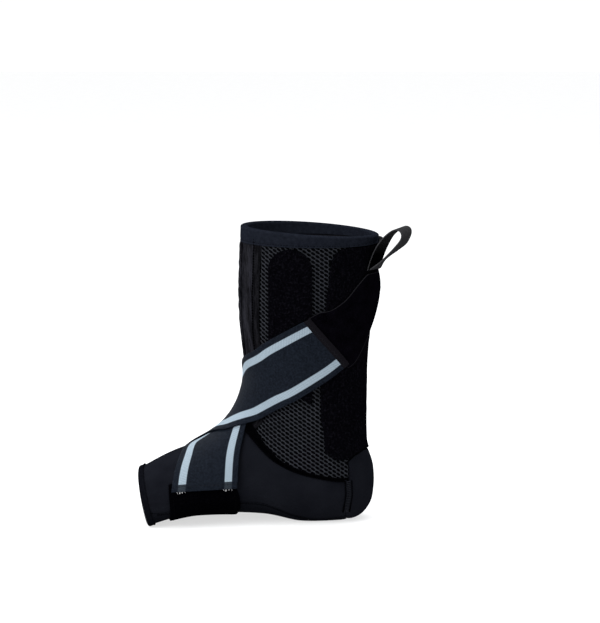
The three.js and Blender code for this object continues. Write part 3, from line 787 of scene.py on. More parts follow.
WHITE_THREAD = thread_material("white_thread", rgb(0.408, 0.408, 0.422), rgb(0.8, 0.8, 0.8))
WEBBING_EDGE = thread_material("webbing_edge", rgb(0.0153, 0.0153, 0.017), rgb(0.034, 0.034, 0.0365))
CUT_EDGE = thread_material("cut_edge", rgb(0.0034, 0.00323, 0.00425), rgb(0.0127, 0.0122, 0.0145))


# How far round a face has to look to count as the inside of the boot
INWARD = -0.3


# Gives the faces that look into the boot another of the piece's materials
def turn_inner(bm, u, angle, index):
    normals = outward(u, angle).reshape(-1, 3)
    tree = point_tree(shell(u, angle).reshape(-1, 3) * MM)
    for face in bm.faces:
        _, k, _ = tree.find(face.calc_center_median())
        if face.normal.dot(Vector(normals[k])) < INWARD:
            face.material_index = index


# Boot panels

def wall_panel(angles, low_u, high_u, rows):
    share = np.linspace(0, 1, rows + 1)[:, None]
    angle = np.broadcast_to(angles, (rows + 1, len(angles)))
    low = low_u(angles)
    high = high_u(angles)
    start = np.where(low == TOE, low, move_u(low, angles, SEAM / 2))
    stop = np.where(high == CUFF, high, move_u(high, angles, -SEAM / 2))
    return lerp(start, stop, share), angle


# Columns of the mesh pass the heel cup's corner in a step
SHAFT_CORNER = HEEL_CUP_SIDE - 1
CORNER_STEP = 0.3
CORNER_CLEAR = 2
FRONT_GAP = 0.2


def side_angles():
    side = np.linspace(FRONT_EDGE + FRONT_GAP, SHAFT_CORNER - CORNER_CLEAR, 44)
    back = np.linspace(SHAFT_CORNER + CORNER_CLEAR, 180, 26)
    step = (SHAFT_CORNER - CORNER_STEP, SHAFT_CORNER + CORNER_STEP)
    half = np.concatenate([side, step, back])
    return np.append(half, (360 - half[:-1])[::-1])


def sole_edge(u, inset):
    return move_angle(u, sole_seam(u), inset)


TOP_ROUNDS = 60


# The foot panel's top edge and its side edges depend on each other, so the top is found in rounds
def foot_places(columns=128, rows=72):
    share = np.linspace(-1, 1, columns + 1)
    top = np.full(share.shape, QUARTER_RIDGE)
    for _ in range(TOP_ROUNDS):
        top = lerp(top, foot_top(share * sole_edge(top, -SOLE_INSET)), 0.5)
    top = move_u(top, share * sole_edge(top, -SOLE_INSET), -SEAM / 2)
    u = lerp(TOE, top[None, :], np.linspace(0, 1, rows + 1)[:, None])
    return u, share * sole_edge(u, -SOLE_INSET)


def sole_places(columns=48, rows=60):
    share = np.linspace(0, 1, columns + 1)
    end = lerp(SOLE_END, 360 - SOLE_END, share)
    top = move_u(foot_top(end), end, -SEAM / 2)
    u = lerp(TOE, top[None, :], np.linspace(0, 1, rows + 1)[:, None])
    edge = sole_edge(u, SOLE_INSET)
    return u, lerp(edge, 360 - edge, share)


# A wall of the boot from a lift of its face down to its lining
def lined_wall(name, u, angle, lift, face, slot):
    bm = cloth(raised(u, angle, lift), raised(u, angle, np.full(u.shape, -WALL)))
    turn_inner(bm, u, angle, 1)
    return dress(name + "_cloth", bm, [face, LINING], slot, name)


PANEL_SEAM_REACH = 1.8
PANEL_FOLD_SIZE = 18


def sewn_panel(name, places, edges, face, folds, dip=0.7):
    flat = shell(*places)
    lift = drawn_in(from_edges(flat, edges), dip, PANEL_SEAM_REACH) + soft_folds(flat, PANEL_FOLD_SIZE, folds)
    return lined_wall(name, *places, lift, face, "neoprene")


def make_boot():
    heel_angles = np.linspace(HEEL_CUP_SIDE + CORNER_STEP, 360 - HEEL_CUP_SIDE - CORNER_STEP, 64)
    heel = wall_panel(heel_angles, lambda a: heel_seam(fold(a)), lambda a: heel_cup_top(fold(a)), 44)
    foot = sewn_panel("foot_panel", foot_places(), "lrt", NEOPRENE, 0.35)
    # The sole panel's darker neoprene is painted shade on the underside
    sole = sewn_panel("sole_panel", sole_places(), "lrt", SHADED_SOLE_NEOPRENE, 0.0, 0.3)
    cup = sewn_panel("heel_cup", heel, "lrb", NEOPRENE, 0.2)


def shaft_low(angle):
    angle = fold(angle)
    return np.where(angle < SHAFT_CORNER, quarter_seam(angle), heel_cup_top(angle))


def to_cuff(angle):
    return np.full(np.shape(angle), float(CUFF))


# Front strip: seams and crushed folds, and the fine ridges of its pile higher up
FRONT_SEAM = {"depth": 0.8, "reach": 1.5}
FRONT_FOLDS = {"size": 9, "height": 0.5}
FRONT_RIDGES = {"height": 0.35, "turns": 22, "from_u": 9, "over_u": 3}


def front_lift(u, angle):
    flat = shell(u, angle)
    grown = ease((u - FRONT_RIDGES["from_u"]) / FRONT_RIDGES["over_u"])
    ridges = FRONT_RIDGES["height"] * np.sin(np.radians(angle * FRONT_RIDGES["turns"])) * grown
    return drawn_in(from_edges(flat, "lr"), **FRONT_SEAM) + soft_folds(flat, **FRONT_FOLDS) + ridges


def make_shaft():
    u, angle = wall_panel(side_angles(), shaft_low, to_cuff, 70)
    bm = lifted_cloth(u, angle, np.full(u.shape, -NET_DEPTH), WALL - NET_DEPTH)
    turn_inner(bm, u, angle, 1)
    backing = dress("shaft_mesh_backing", bm, [BACKING, LINING], "spacer_mesh", "shaft_mesh")
    edge = FRONT_EDGE - FRONT_GAP
    u, angle = wall_panel(np.linspace(-edge, edge, 40), lambda a: quarter_seam(fold(a)), to_cuff, 80)
    front = lined_wall("front_panel", u, angle, front_lift(u, angle), VELOUR, "loop_pile")


# Stitching of a binding: height above its lower edge, how it draws the binding in, and the puckers it leaves
HEMLINE = {"height": 1.6, "depth": 0.4, "reach": 0.9, "pucker": 0.12, "puckers": 62}


# Lines of a binding folded over an edge, at an offset from the wall: up outside, over the edge, down inside
def binding_lines(edge_u, low_u, offset, columns, rows):
    angle = np.linspace(0, 360, columns + 1)
    edge = np.full(angle.shape, float(edge_u))
    low = low_u(angle)
    height = np.linalg.norm(shell(edge, angle) - shell(low, angle), axis=-1)
    beyond = unit(along_boot(edge, angle)) * (1 if edge_u == CUFF else -1)
    inner = -WALL - offset
    lines = []
    for share in np.linspace(0, 1, rows + 1)[:-1]:
        pinch = drawn_in(np.abs(share * height - HEMLINE["height"]), HEMLINE["depth"], HEMLINE["reach"])
        pucker = HEMLINE["pucker"] * np.sin(np.radians(angle * HEMLINE["puckers"])) * (1 - share)
        lines.append(raised(lerp(low, edge, share), angle, offset + pinch + pucker))
    for step in np.linspace(0, math.pi, 9):
        lift = (offset + inner) / 2 + (offset - inner) / 2 * math.cos(step)
        lines.append(raised(edge, angle, np.full(angle.shape, lift)) + beyond * offset * math.sin(step))
    for share in np.linspace(1, 0, rows + 1)[1:]:
        lines.append(raised(lerp(low, edge, share), angle, np.full(angle.shape, inner)))
    return np.array(lines)


def folded_binding(edge_u, low_u, columns, rows):
    outside = binding_lines(edge_u, low_u, LIFTS["binding"] + BINDING, columns, rows)
    inside = binding_lines(edge_u, low_u, LIFTS["binding"], columns, rows)
    return cloth(outside, inside, 0.25, is_round=True)


def make_bindings():
    cuff = dress("cuff_binding_cloth", folded_binding(CUFF, cuff_low, 220, 12),
                 [BINDING_LOOK], "binding", "cuff_binding")
    toe = dress("toe_binding_cloth", folded_binding(TOE, toe_low, 180, 8),
                [TOE_LOOK], "binding", "toe_binding")


# Pieces sewn onto the boot

POCKET = {"middle_x": -15.5, "half_width": 17, "top_z": 223, "front_foot_z": 117, "back_foot_z": 98}


def pocket_places(side, columns=22):
    shoulder = POCKET["top_z"] - POCKET["half_width"]
    rise = np.linspace(0, 1, 54)
    turn = np.radians(np.linspace(4, 86, 20))
    reach = np.append(np.full(rise.shape, POCKET["half_width"]), POCKET["half_width"] * np.cos(turn))
    cap = shoulder + POCKET["half_width"] * np.sin(turn)
    front_z = np.append(lerp(POCKET["front_foot_z"], shoulder, rise), cap)[:, None]
    back_z = np.append(lerp(POCKET["back_foot_z"], shoulder, rise), cap)[:, None]
    share = np.linspace(0, 1, columns + 1)
    x = POCKET["middle_x"] + reach[:, None] * (2 * share - 1)
    u, angle = settle(x, lerp(front_z, back_z, share))
    return u, side * angle


BACK_FOOT = [(8.4, 66), (11.8, 60.3), (21.4, 53.5), (30.2, 54.2), (37, 57.6), (43, 59)]
BACK_FOOT_MIDDLE = 10.48
BACK_TOP_DROP = [(108.5, 15), (110, 9), (113, 4.4), (118, 1.8), (124, 0.8)]
BACK_EDGES = (101, 108.5)


def back_places(columns=110, rows=80):
    share, rise = grid(columns, rows)
    foot = through(angle_to_u(BACK_FOOT) + [(180, BACK_FOOT_MIDDLE)])
    drop = through(BACK_TOP_DROP)
    edge = lerp(BACK_EDGES[0], BACK_EDGES[1], rise)
    angle = lerp(edge, 360 - edge, share)
    top = move_u(cuff_low(angle), angle, -drop(fold(angle)))
    return lerp(foot(fold(angle)), top, rise), angle


FLAP = {"free": -13, "sewn": 37, "foot": 11.2, "top_drop": 0.8, "thickness": PILE * 0.9}


def flap_places(columns=30, rows=70):
    share, rise = grid(columns, rows)
    angle = lerp(FLAP["free"], FLAP["sewn"], share)
    return lerp(FLAP["foot"], move_u(cuff_low(angle), angle, -FLAP["top_drop"]), rise), angle


BAND = {"top_angle": 62, "front_top": 0.9, "front_under": 0.62, "rear_top": 2.78, "rear_under": 2.38}


def band_places(columns=30, rows=110):
    share, rise = grid(columns, rows)
    angle = lerp(BAND["top_angle"], 360 - BAND["top_angle"], rise)
    under = (fold(angle) - BAND["top_angle"]) / (180 - BAND["top_angle"])
    front = lerp(BAND["front_top"], BAND["front_under"], under)
    rear = lerp(BAND["rear_top"], BAND["rear_under"], under)
    return lerp(front, rear, share), angle


# Tape over the quarter seam: x and z on the foot panel's side, then on the mesh's side
QUARTER_TAPE = [
    (-55.5, 79.5, -47.5, 82), (-50, 73, -41.5, 74.5), (-43.8, 66, -36, 66), (-37.5, 59.5, -30.5, 60),
    (-31, 53.6, -25.5, 55), (-20.5, 47.2, -17.5, 50), (-10, 42.8, -8.5, 46.3), (0, 40, 0.8, 43.2),
    (10, 37.8, 10.5, 41), (19, 36, 19.5, 39.4), (27, 35.2, 27, 38.6),
]


# Smooth columns through a table's rows, at evenly spaced places
def smooth_columns(table, count):
    place = np.arange(len(table))
    at = np.linspace(0, len(table) - 1, count)
    return [through(list(zip(place, column)))(at)[:, None] for column in np.array(table, float).T]


def tape_places(side, columns=8, rows=90):
    foot_x, foot_z, mesh_x, mesh_z = smooth_columns(QUARTER_TAPE, rows + 1)
    share = np.linspace(0, 1, columns + 1)
    u, angle = settle(lerp(foot_x, mesh_x, share), lerp(foot_z, mesh_z, share))
    return u, side * angle


# Places and face lifts of the pieces that are stitched down
sewn = {}
SEWN_REACH = 2.0
LUMP_SIZE = 5


# A pile or tape piece on the boot's surface, drawn down along its stitched edges
def lying_cloth(name, places, lift, thickness, material, slot, dip=0.5, lumps=0.25, edge=0.4, is_node=True):
    u, angle = places
    flat = shell(u, angle)
    top = lift + thickness + drawn_in(from_edges(flat), dip, SEWN_REACH) + soft_folds(flat, LUMP_SIZE, lumps)
    lay_down(u, angle, lift + thickness)
    sewn[name] = (u, angle, top)
    nodes = [name] if is_node else []
    return dress(name + "_cloth", lifted_cloth(u, angle, top, thickness, edge), [material], slot, *nodes)


# Edge strip of the front panel, lapped over the mesh
LAP = {"near": FRONT_EDGE - 3, "far": FRONT_EDGE + 5.5, "lift": 0.25, "thickness": 0.8, "foot_gap": 1.0,
       "top": CUFF - 0.2}


def lap_places(side, columns=4, rows=110):
    share, rise = grid(columns, rows)
    angle = lerp(LAP["near"], LAP["far"], share)
    return lerp(move_u(quarter_seam(angle), angle, LAP["foot_gap"]), LAP["top"], rise), side * angle


def make_sewn_pieces():
    for side, word in SIDES.items():
        lap = lying_cloth("front_lap_" + word, lap_places(side), LAP["lift"], LAP["thickness"], LAP_VELOUR,
                          "loop_pile", dip=0.2, lumps=0.2, edge=0.2, is_node=False)
        pocket = lying_cloth("stay_pocket_" + word, pocket_places(side), LIFTS["pocket"], PILE, PILE_LOOK,
                             "loop_pile")
        tape = lying_cloth("quarter_tape_" + word, tape_places(side), LIFTS["tape"], TAPE, TAPE_LOOK,
                           "binding", dip=0.1, lumps=0.0, edge=0.2)
    back = lying_cloth("back_panel", back_places(), LIFTS["back"], PILE, PILE_LOOK, "loop_pile")
    flap = lying_cloth("front_flap", flap_places(), LIFTS["flap"], FLAP["thickness"], VELOUR, "loop_pile",
                       dip=0.3, lumps=0.5)
    band = lying_cloth("sole_band", band_places(), LIFTS["band"], SOLE_BAND, BAND_LOOK, "loop_pile",
                       dip=0.2, lumps=0.0)


# Hook tabs and straps

# Angle and height on the upper edge, then on the lower edge
HOOK_TAB = [
    (93, 168, 133, 126.5), (102, 172.6, 142, 131), (112, 174.6, 150, 139), (124, 181.8, 158, 147.5),
    (135, 193, 165, 156), (144, 200.8, 170, 164), (150, 202, 173, 172), (156, 202.4, 175, 180),
    (162, 202.5, 176, 189),
]


def tab_places(side, columns=28, rows=48):
    upper, upper_z, lower, lower_z = smooth_columns(HOOK_TAB, rows + 1)
    share = np.linspace(0, 1, columns + 1)
    angle = lerp(upper, lower, share)
    return on_shaft(angle, lerp(upper_z, lower_z, share)), side * angle


# Edges of a strap as x, z and side: 1 on the side that it starts on, 0 on the ridge and -1 on the other side.
# The two straps cross the instep in different places, so the front edge has a list for each starting side.
STRAP_FRONT = {
    INNER: [
        (-109.5, 27.7, 1), (-107.2, 42, 1), (-103.8, 51.5, 1), (-97, 57.5, 0), (-80, 65.5, -1),
        (-62, 73.5, -1), (-38, 87, -1), (-8, 103.4, -1), (17.6, 120.8, -1), (28.2, 130.3, -1),
    ],
    OUTER: [
        (-109.5, 27.7, 1), (-105, 43, 1), (-96, 56, 1), (-79.5, 67, 0), (-68, 72, -1), (-54.6, 77.5, -1),
        (-33.6, 88, -1), (-8, 103.4, -1), (17.6, 120.8, -1), (28.2, 130.3, -1),
    ],
}
STRAP_REAR = [
    (-58.3, 28.9, 1), (-54.6, 62, 1), (-48.5, 84, 1), (-44, 107, 1), (-51, 126.2, 0), (-43.5, 139.2, -1),
    (-36, 145.9, -1), (-18, 158, -1), (-0.1, 168.8, -1),
]


CURVE_STEPS = 40


# Evenly spaced points on a smooth curve through knots
def even_curve(knots, count):
    knots = with_ends(knots)
    fine = []
    for four in zip(knots, knots[1:], knots[2:], knots[3:]):
        for t in np.linspace(0, 1, CURVE_STEPS, endpoint=False):
            fine.append(on_curve(*four, t))
    fine = np.array(fine + [knots[-2]])
    run = run_along(fine)
    at = np.linspace(0, run[-1], count)
    return np.stack([np.interp(at, run, fine[:, k]) for k in range(fine.shape[1])], -1)


def strap_edge(knots, start_side, count):
    x, z, side = np.array(knots, float).T
    u, angle = settle(x, z)
    return even_curve(shell(u, angle * side * start_side), count)


def strap_places(start_side, columns=24, rows=110):
    front = strap_edge(STRAP_FRONT[start_side], start_side, rows + 1)[:, None]
    rear = strap_edge(STRAP_REAR, start_side, rows + 1)[:, None]
    share = np.linspace(0, 1, columns + 1) if start_side == INNER else np.linspace(1, 0, columns + 1)
    return settle_points(lerp(front, rear, share[None, :, None]))


PAST_END = 30


# Distance of points from a line of points, drawn on straight past its ends
def from_line(points, line):
    ahead = PAST_END * unit(line[0] - line[2])
    beyond = PAST_END * unit(line[-1] - line[-3])
    line = np.vstack([line[0] + ahead, line, line[-1] + beyond])
    step = np.diff(line, axis=0)
    off = points[..., None, :] - line[:-1]
    share = np.clip((off * step).sum(-1) / (step * step).sum(-1), 0, 1)
    return np.linalg.norm(off - share[..., None] * step, axis=-1).min(-1)


# How far in from its edges a strap is measured by them, and over what it turns to an even measure
BY_EDGE = {"to": 11, "over": 8}


# Measure across a strap: from its edges where its stripes lie, and even over its middle
def strap_measure(points):
    half = STRAP_WIDTH / 2
    left = from_line(points, points[:, 0])
    right = from_line(points, points[:, -1])
    by_edge = np.where(left < right, left - half, half - right)
    even = np.linspace(-half, half, points.shape[1])
    return lerp(by_edge, even, ease((np.minimum(left, right) - BY_EDGE["to"]) / BY_EDGE["over"]))


# How a tab and a strap lie: gap under them, rounds of easing, the tab's end standing off and the thicker hems
TAB_LIE = {"gap": 0.25, "rounds": 200, "bulge": 2.4, "bulge_from": 0.4, "bulge_over": 0.5}
STRAP_LIE = {"gap": 0.3, "rounds": 800, "hem": 0.5, "hem_over": 0.8}


def make_tabs():
    for side, word in SIDES.items():
        u, angle = tab_places(side)
        rise = np.linspace(0, 1, len(u))[:, None]
        bulge = TAB_LIE["bulge"] * ease((rise - TAB_LIE["bulge_from"]) / TAB_LIE["bulge_over"])
        lift = drape(u, angle, TAB_LIE["gap"], TAB_LIE["rounds"]) + TAB + bulge
        lay_down(u, angle, lift)
        bm = lifted_cloth(u, angle, lift, TAB, 0.25, rim=1)
        tab = dress(f"hook_tab_{word}_cloth", bm, [HOOK_LOOK, CUT_EDGE], "hook_fabric", "hook_tab_" + word)
        sewn["hook_tab_" + word] = (u, angle, lift)


# The inner strap lies underneath, so it is laid first
def make_straps():
    for side, word in SIDES.items():
        u, angle = strap_places(side)
        run = from_edges(shell(u, angle), "bt")
        hem = STRAP_LIE["hem"] * (1 - ease((run - HEM) / STRAP_LIE["hem_over"]))
        lift = drape(u, angle, STRAP_LIE["gap"], STRAP_LIE["rounds"]) + STRAP + hem
        lay_down(u, angle, lift)
        bm = lifted_cloth(u, angle, lift, STRAP, 0.35, measure=strap_measure(shell(u, angle)))
        strap = dress(f"strap_{word}_cloth", bm, [ELASTIC], "elastic", "strap_" + word)
        sewn["strap_" + word] = (u, angle, lift)


# Pull loops

# Middle of the webbing and the way its width runs, up the far side, over the top and down the near side
STANDING_LOOP = [
    (50, -21.5, 204, 0.6, 0.8, 0), (52.5, -20, 212, 0.62, 0.78, 0), (56.2, -19, 221, 0.6, 0.8, 0),
    (61.2, -19, 229.3, 0.58, 0.8, 0.1), (66.5, -20, 234.5, 0.56, 0.8, 0.1),
    (71, -23, 237.2, 0.55, 0.8, 0.1),
    (74.5, -26, 236.6, 0.52, 0.8, 0.1), (75.8, -28.5, 233.8, 0.5, 0.8, 0.1),
    (74.8, -30.5, 230, 0.5, 0.8, 0.1), (71, -32, 224.6, 0.58, 0.78, 0.1),
    (65.6, -31.5, 219.6, 0.48, 0.86, 0.1), (57.6, -28.5, 212.3, 0.3, 0.95, 0.05),
    (51.4, -23.6, 205, 0.55, 0.83, 0),
]
# Heights and lifts of the other loop, which lies flat at one angle
LYING_LOOP_ANGLE = 158
LYING_LOOP = [(204, 3.4), (211, 3.5), (219, 3.6), (224.5, 3.9), (226.5, 5.2), (224.5, 6.5), (219, 6.6),
              (211, 6.2), (204, 5.4)]
LOOP_LOOKS = [WEBBING, WEBBING_EDGE, WEBBING_BACK]


def webbing_loop(knots, widths, rows=96, columns=10):
    path = even_curve(np.hstack([knots, widths]), rows + 1)
    middle = path[:, :3]
    wide = unit(path[:, 3:])
    face = unit(np.cross(np.gradient(middle, axis=0), wide))
    share = np.linspace(-0.5, 0.5, columns + 1)
    points = middle[:, None] + wide[:, None] * (share * LOOP_WIDTH)[None, :, None]
    off = face[:, None] * LOOP / 2
    return cloth(points + off, points - off, 0.3, rim=1, back=2)


def make_loops():
    table = np.array(STANDING_LOOP, float)
    bm = webbing_loop(table[:, :3], table[:, 3:])
    standing = dress("pull_loop_inner_webbing", bm, LOOP_LOOKS, "webbing", "pull_loop_inner")
    z, lift = np.array(LYING_LOOP, float).T
    angle = np.full(z.shape, float(LYING_LOOP_ANGLE))
    u = on_shaft(angle, z)
    bm = webbing_loop(raised(u, angle, lift), unit(round_boot(u, angle)))
    lying = dress("pull_loop_outer_webbing", bm, LOOP_LOOKS, "webbing", "pull_loop_outer")


# Net of the spacer mesh

NET = {"row": 3.4, "column": 3.45, "slant": -0.22, "strand": 0.38, "depth": 0.6, "rim_drop": 0.2}
NET_HOLE = {"wide": 1.26, "tall": 0.88, "slant": -0.34}
NET_AREA = {"low_z": 38, "high_z": 229, "front_x": -47, "back_x": 34}
NET_EDGES = {"foot_gap": 0.8, "cuff_lap": 1, "front_lap": 1, "covered": 2.0}
NET_RING = {"middle_x": -1.5, "half_depth": 51.5, "half_width": 37}


# One cell: a rim between neighbouring holes, lower at the hole
def net_cell(bm):
    bmesh.ops.create_circle(bm, cap_ends=True, segments=6, radius=NET["row"] / math.sqrt(3))
    bmesh.ops.rotate(bm, verts=bm.verts[:], cent=(0, 0, 0), matrix=Matrix.Rotation(math.pi / 6, 3, "Z"))
    hole = bm.faces[:]
    bmesh.ops.inset_individual(bm, faces=hole, thickness=NET["strand"], depth=0, use_even_offset=True)
    bmesh.ops.scale(bm, verts=hole[0].verts[:], vec=(NET_HOLE["wide"], NET_HOLE["tall"], 1))
    for vert in hole[0].verts:
        vert.co.y += NET_HOLE["slant"] * vert.co.x
    bmesh.ops.translate(bm, verts=hole[0].verts[:], vec=(0, 0, -NET["rim_drop"]))
    bmesh.ops.delete(bm, geom=hole, context="FACES_ONLY")


# Arc length round a ring of the shaft's size, as a function of x
def ring_table():
    turn = np.linspace(0, math.pi, 400)
    x = NET_RING["middle_x"] - NET_RING["half_depth"] * np.cos(turn)
    y = NET_RING["half_width"] * np.sin(turn)
    run = np.append(0, np.cumsum(np.hypot(np.diff(x), np.diff(y))))
    return x, run


RING_X, RING_RUN = ring_table()
NET_START = np.interp(NET_AREA["front_x"], RING_X, RING_RUN)
NET_STOP = np.interp(NET_AREA["back_x"], RING_X, RING_RUN)


def net_places(flat, side):
    x = np.interp(flat[:, 0] + NET_START, RING_RUN, RING_X)
    u, angle = settle(x, flat[:, 1] + NET_AREA["low_z"])
    return u, side * angle


# A flat field of cells, slanted and joined
def net_field():
    bm = bmesh.new()
    net_cell(bm)
    cell = bm.verts[:] + bm.edges[:] + bm.faces[:]
    stretch = NET["column"] / (NET["row"] * math.sqrt(3) / 2)
    rows = int((NET_AREA["high_z"] - NET_AREA["low_z"]) / NET["row"])
    columns = int((NET_STOP - NET_START) / NET["column"])
    for vert in bm.verts:
        vert.co.x *= stretch
        vert.co.y += NET["slant"] * vert.co.x
    bmesh.ops.spin(bm, geom=cell, angle=0, steps=rows, dvec=(0, NET["row"], 0), axis=(0, 0, 1),
                   cent=(0, 0, 0), use_duplicate=True)
    line = bm.verts[:] + bm.edges[:] + bm.faces[:]
    for column in range(1, columns):
        drop = (column * (0.5 * NET["row"] + NET["slant"] * NET["column"])) % NET["row"]
        copy = bmesh.ops.duplicate(bm, geom=line)["geom"]
        verts = [v for v in copy if isinstance(v, bmesh.types.BMVert)]
        bmesh.ops.translate(bm, verts=verts, vec=(column * NET["column"], drop, 0))
    bmesh.ops.remove_doubles(bm, verts=bm.verts, dist=0.02)
    return bm


# Takes away cells past the mesh's edges, or well under a piece that lies on it
def cut_net(bm, side):
    flat = np.array([f.calc_center_median() for f in bm.faces])
    u, angle = net_places(flat, side)
    low = move_u(shaft_low(angle), angle, NET_EDGES["foot_gap"])
    high = move_u(cuff_low(angle), angle, NET_EDGES["cuff_lap"])
    front = fold(angle) < LAP["far"] - NET_EDGES["front_lap"]
    covered = layer_top(shell(u, angle), NET_EDGES["covered"]) > 0
    away = (u < low) | (u > high) | front | covered
    hidden = [face for face, gone in zip(bm.faces[:], away) if gone]
    bmesh.ops.delete(bm, geom=hidden, context="FACES")


def net_patch(side):
    bm = net_field()
    cut_net(bm, side)
    made = bmesh.ops.extrude_face_region(bm, geom=bm.faces[:], use_keep_orig=True)["geom"]
    under = [item for item in made if isinstance(item, bmesh.types.BMVert)]
    bmesh.ops.translate(bm, verts=under, vec=(0, 0, -NET["depth"]))
    flat = np.array([v.co for v in bm.verts])
    u, angle = net_places(flat, side)
    for vert, point in zip(bm.verts, raised(u, angle, flat[:, 2])):
        vert.co = point * MM
    bmesh.ops.recalc_face_normals(bm, faces=bm.faces[:])
    if bm.calc_volume(signed=True) < 0:
        bmesh.ops.reverse_faces(bm, faces=bm.faces[:])
    return bm


def make_net():
    for side, word in SIDES.items():
        net = dress(f"shaft_net_{word}", net_patch(side), [NET_YARN], "spacer_mesh")
        rounding = net.modifiers.new("round_yarn", "SUBSURF")
        rounding.levels = 1
        rounding.render_levels = 1


# Stitching

# A shape repeated at many places, each a matrix
def repeated(shape, places):
    bm = bmesh.new()
    copy = bm.verts.layers.int.new("copy")
    shape(bm)
    made = 1
    while made < len(places):
        geom = bmesh.ops.duplicate(bm, geom=bm.verts[:] + bm.edges[:] + bm.faces[:])["geom"]
        for item in geom:
            if isinstance(item, bmesh.types.BMVert):
                item[copy] += made
        made *= 2
    spare = [vert for vert in bm.verts if vert[copy] >= len(places)]
    bmesh.ops.delete(bm, geom=spare, context="VERTS")
    for vert in bm.verts:
        vert.co = places[vert[copy]] @ vert.co
    return bm


def stitch(bm):
    bmesh.ops.create_uvsphere(bm, u_segments=6, v_segments=4, radius=1)


# Spacing, length and width of the stitches of each kind of row
FLAT_SEAM = 5.2
STITCHES = {
    "panel": (2.6, 1.9, 0.45), "tape": (1.9, 1.4, 0.4), "lap": (2.2, 1.6, 0.4), "lap_cover": (2.2, 2.4, 1.5),
    "heel": (1.45, 1.05, 1.6), "heel_cross": (1.45, FLAT_SEAM, 0.6), "sole": (1.5, 2.4, 0.5),
    "binding": (2.4, 1.8, 0.4), "upper_hem": (1.5, 3.0, 0.4), "lower_hem": (2.2, 1.7, 0.45),
    "tab": (1.3, 1.9, 0.5),
}
STITCH_VIEW = 0.3


# Places of stitches in a row along the surface, each turned in its plane by the next of the given turns
def stitch_row(u, angle, lift, kind, turns=(0,)):
    spacing, length, width = STITCHES[kind]
    points = raised(u, angle, np.broadcast_to(lift, np.shape(u)))
    normals = outward(u, angle)
    run = run_along(points)
    count = max(int(run[-1] / spacing), 1)
    at = (np.arange(count) + 0.5) * run[-1] / count
    pick = [np.stack([np.interp(at + shift, run, values[:, k]) for k in range(3)], -1)
            for values, shift in ((points, 0), (points, -STITCH_VIEW), (points, STITCH_VIEW), (normals, 0))]
    places = []
    for k, (point, before, after, normal) in enumerate(zip(*pick)):
        up = Vector(normal).normalized()
        ahead = Vector(after - before).normalized()
        ahead = Matrix.Rotation(math.radians(turns[k % len(turns)]), 3, up) @ ahead
        side = up.cross(ahead)
        axes = Matrix((ahead * length / 2, side * width / 2, up * width / 2)).transposed().to_4x4()
        places.append(Matrix.Scale(MM, 4) @ Matrix.Translation(Vector(point)) @ axes)
    return places


# Lines of a sewn piece's grid along its left, right, bottom or top edge
def edge_line(name, edge, inset):
    u, angle, lift = sewn[name]
    line = {"l": (slice(None), inset), "r": (slice(None), -1 - inset),
            "b": (inset, slice(None)), "t": (-1 - inset, slice(None))}[edge]
    return u[line], angle[line], lift[line]


def edge_stitches(name, edges, inset, kind="panel", turns=(0,)):
    places = []
    for edge in edges:
        places += stitch_row(*edge_line(name, edge, inset), kind, turns)
    return places


# A line beside the heel seam in the side view
def heel_line(offset):
    x, z = np.array(HEEL_SEAM, float).T
    height = np.linspace(z[0], z[-1], 60)
    return settle(np.interp(height, z[::-1], x[::-1]) + offset, height)


SOLE_ROW = {"from_u": 0.35, "to_u": 4.6, "inset": 1.5}


def boot_seams():
    sole_u = np.linspace(SOLE_ROW["from_u"], SOLE_ROW["to_u"], 80)
    places = []
    for side in SIDES:
        for offset in (-FLAT_SEAM / 2, FLAT_SEAM / 2):
            u, angle = heel_line(offset)
            places += stitch_row(u, side * angle, 0.3, "heel")
        angle = sole_edge(sole_u, SOLE_ROW["inset"])
        places += stitch_row(sole_u, side * angle, 0.0, "sole", (70, 110))
    for word in SIDES.values():
        places += edge_stitches("front_lap_" + word, "l", 0, "lap_cover")
    return places


# Threads across the heel seam
def flat_seams():
    u, angle = heel_line(0)
    places = []
    for side in SIDES:
        places += stitch_row(u, side * angle, 0.4, "heel_cross", (90,))
    return places


# Row on a binding: share of the way down it, and how deep it lies
BINDING_ROW = {"down": 0.84, "depth": 0.35}


def binding_seams():
    around = np.linspace(0, 360, 241)
    lift = LIFTS["binding"] + BINDING - BINDING_ROW["depth"]
    places = []
    for edge, low in ((CUFF, cuff_low), (TOE, toe_low)):
        places += stitch_row(lerp(edge, low(around), BINDING_ROW["down"]), around, lift, "binding")
    return places


def panel_seams():
    places = edge_stitches("back_panel", "lrbt", 1)
    places += edge_stitches("front_flap", "lr", 1)
    places += edge_stitches("sole_band", "lr", 2)
    for word in SIDES.values():
        places += edge_stitches("stay_pocket_" + word, "lrt", 1)
        places += edge_stitches("quarter_tape_" + word, "lr", 1, "tape")
        places += edge_stitches("front_lap_" + word, "lr", 1, "lap")
    return places


def hem_seams():
    places = []
    for word in SIDES.values():
        places += edge_stitches("strap_" + word, "t", 2, "upper_hem", (62, -62))
        places += edge_stitches("strap_" + word, "b", 2, "lower_hem")
    return places


FRAY = {"fibres": 16, "spread": 2.6, "length": 2.4, "shortest": 0.4, "radius": 0.11, "lean": 0.6,
        "depth": 0.6, "out": 0.4, "seed": 7}


def fibre(bm):
    bmesh.ops.create_cone(bm, cap_ends=True, segments=5, radius1=1, radius2=0.3, depth=1)


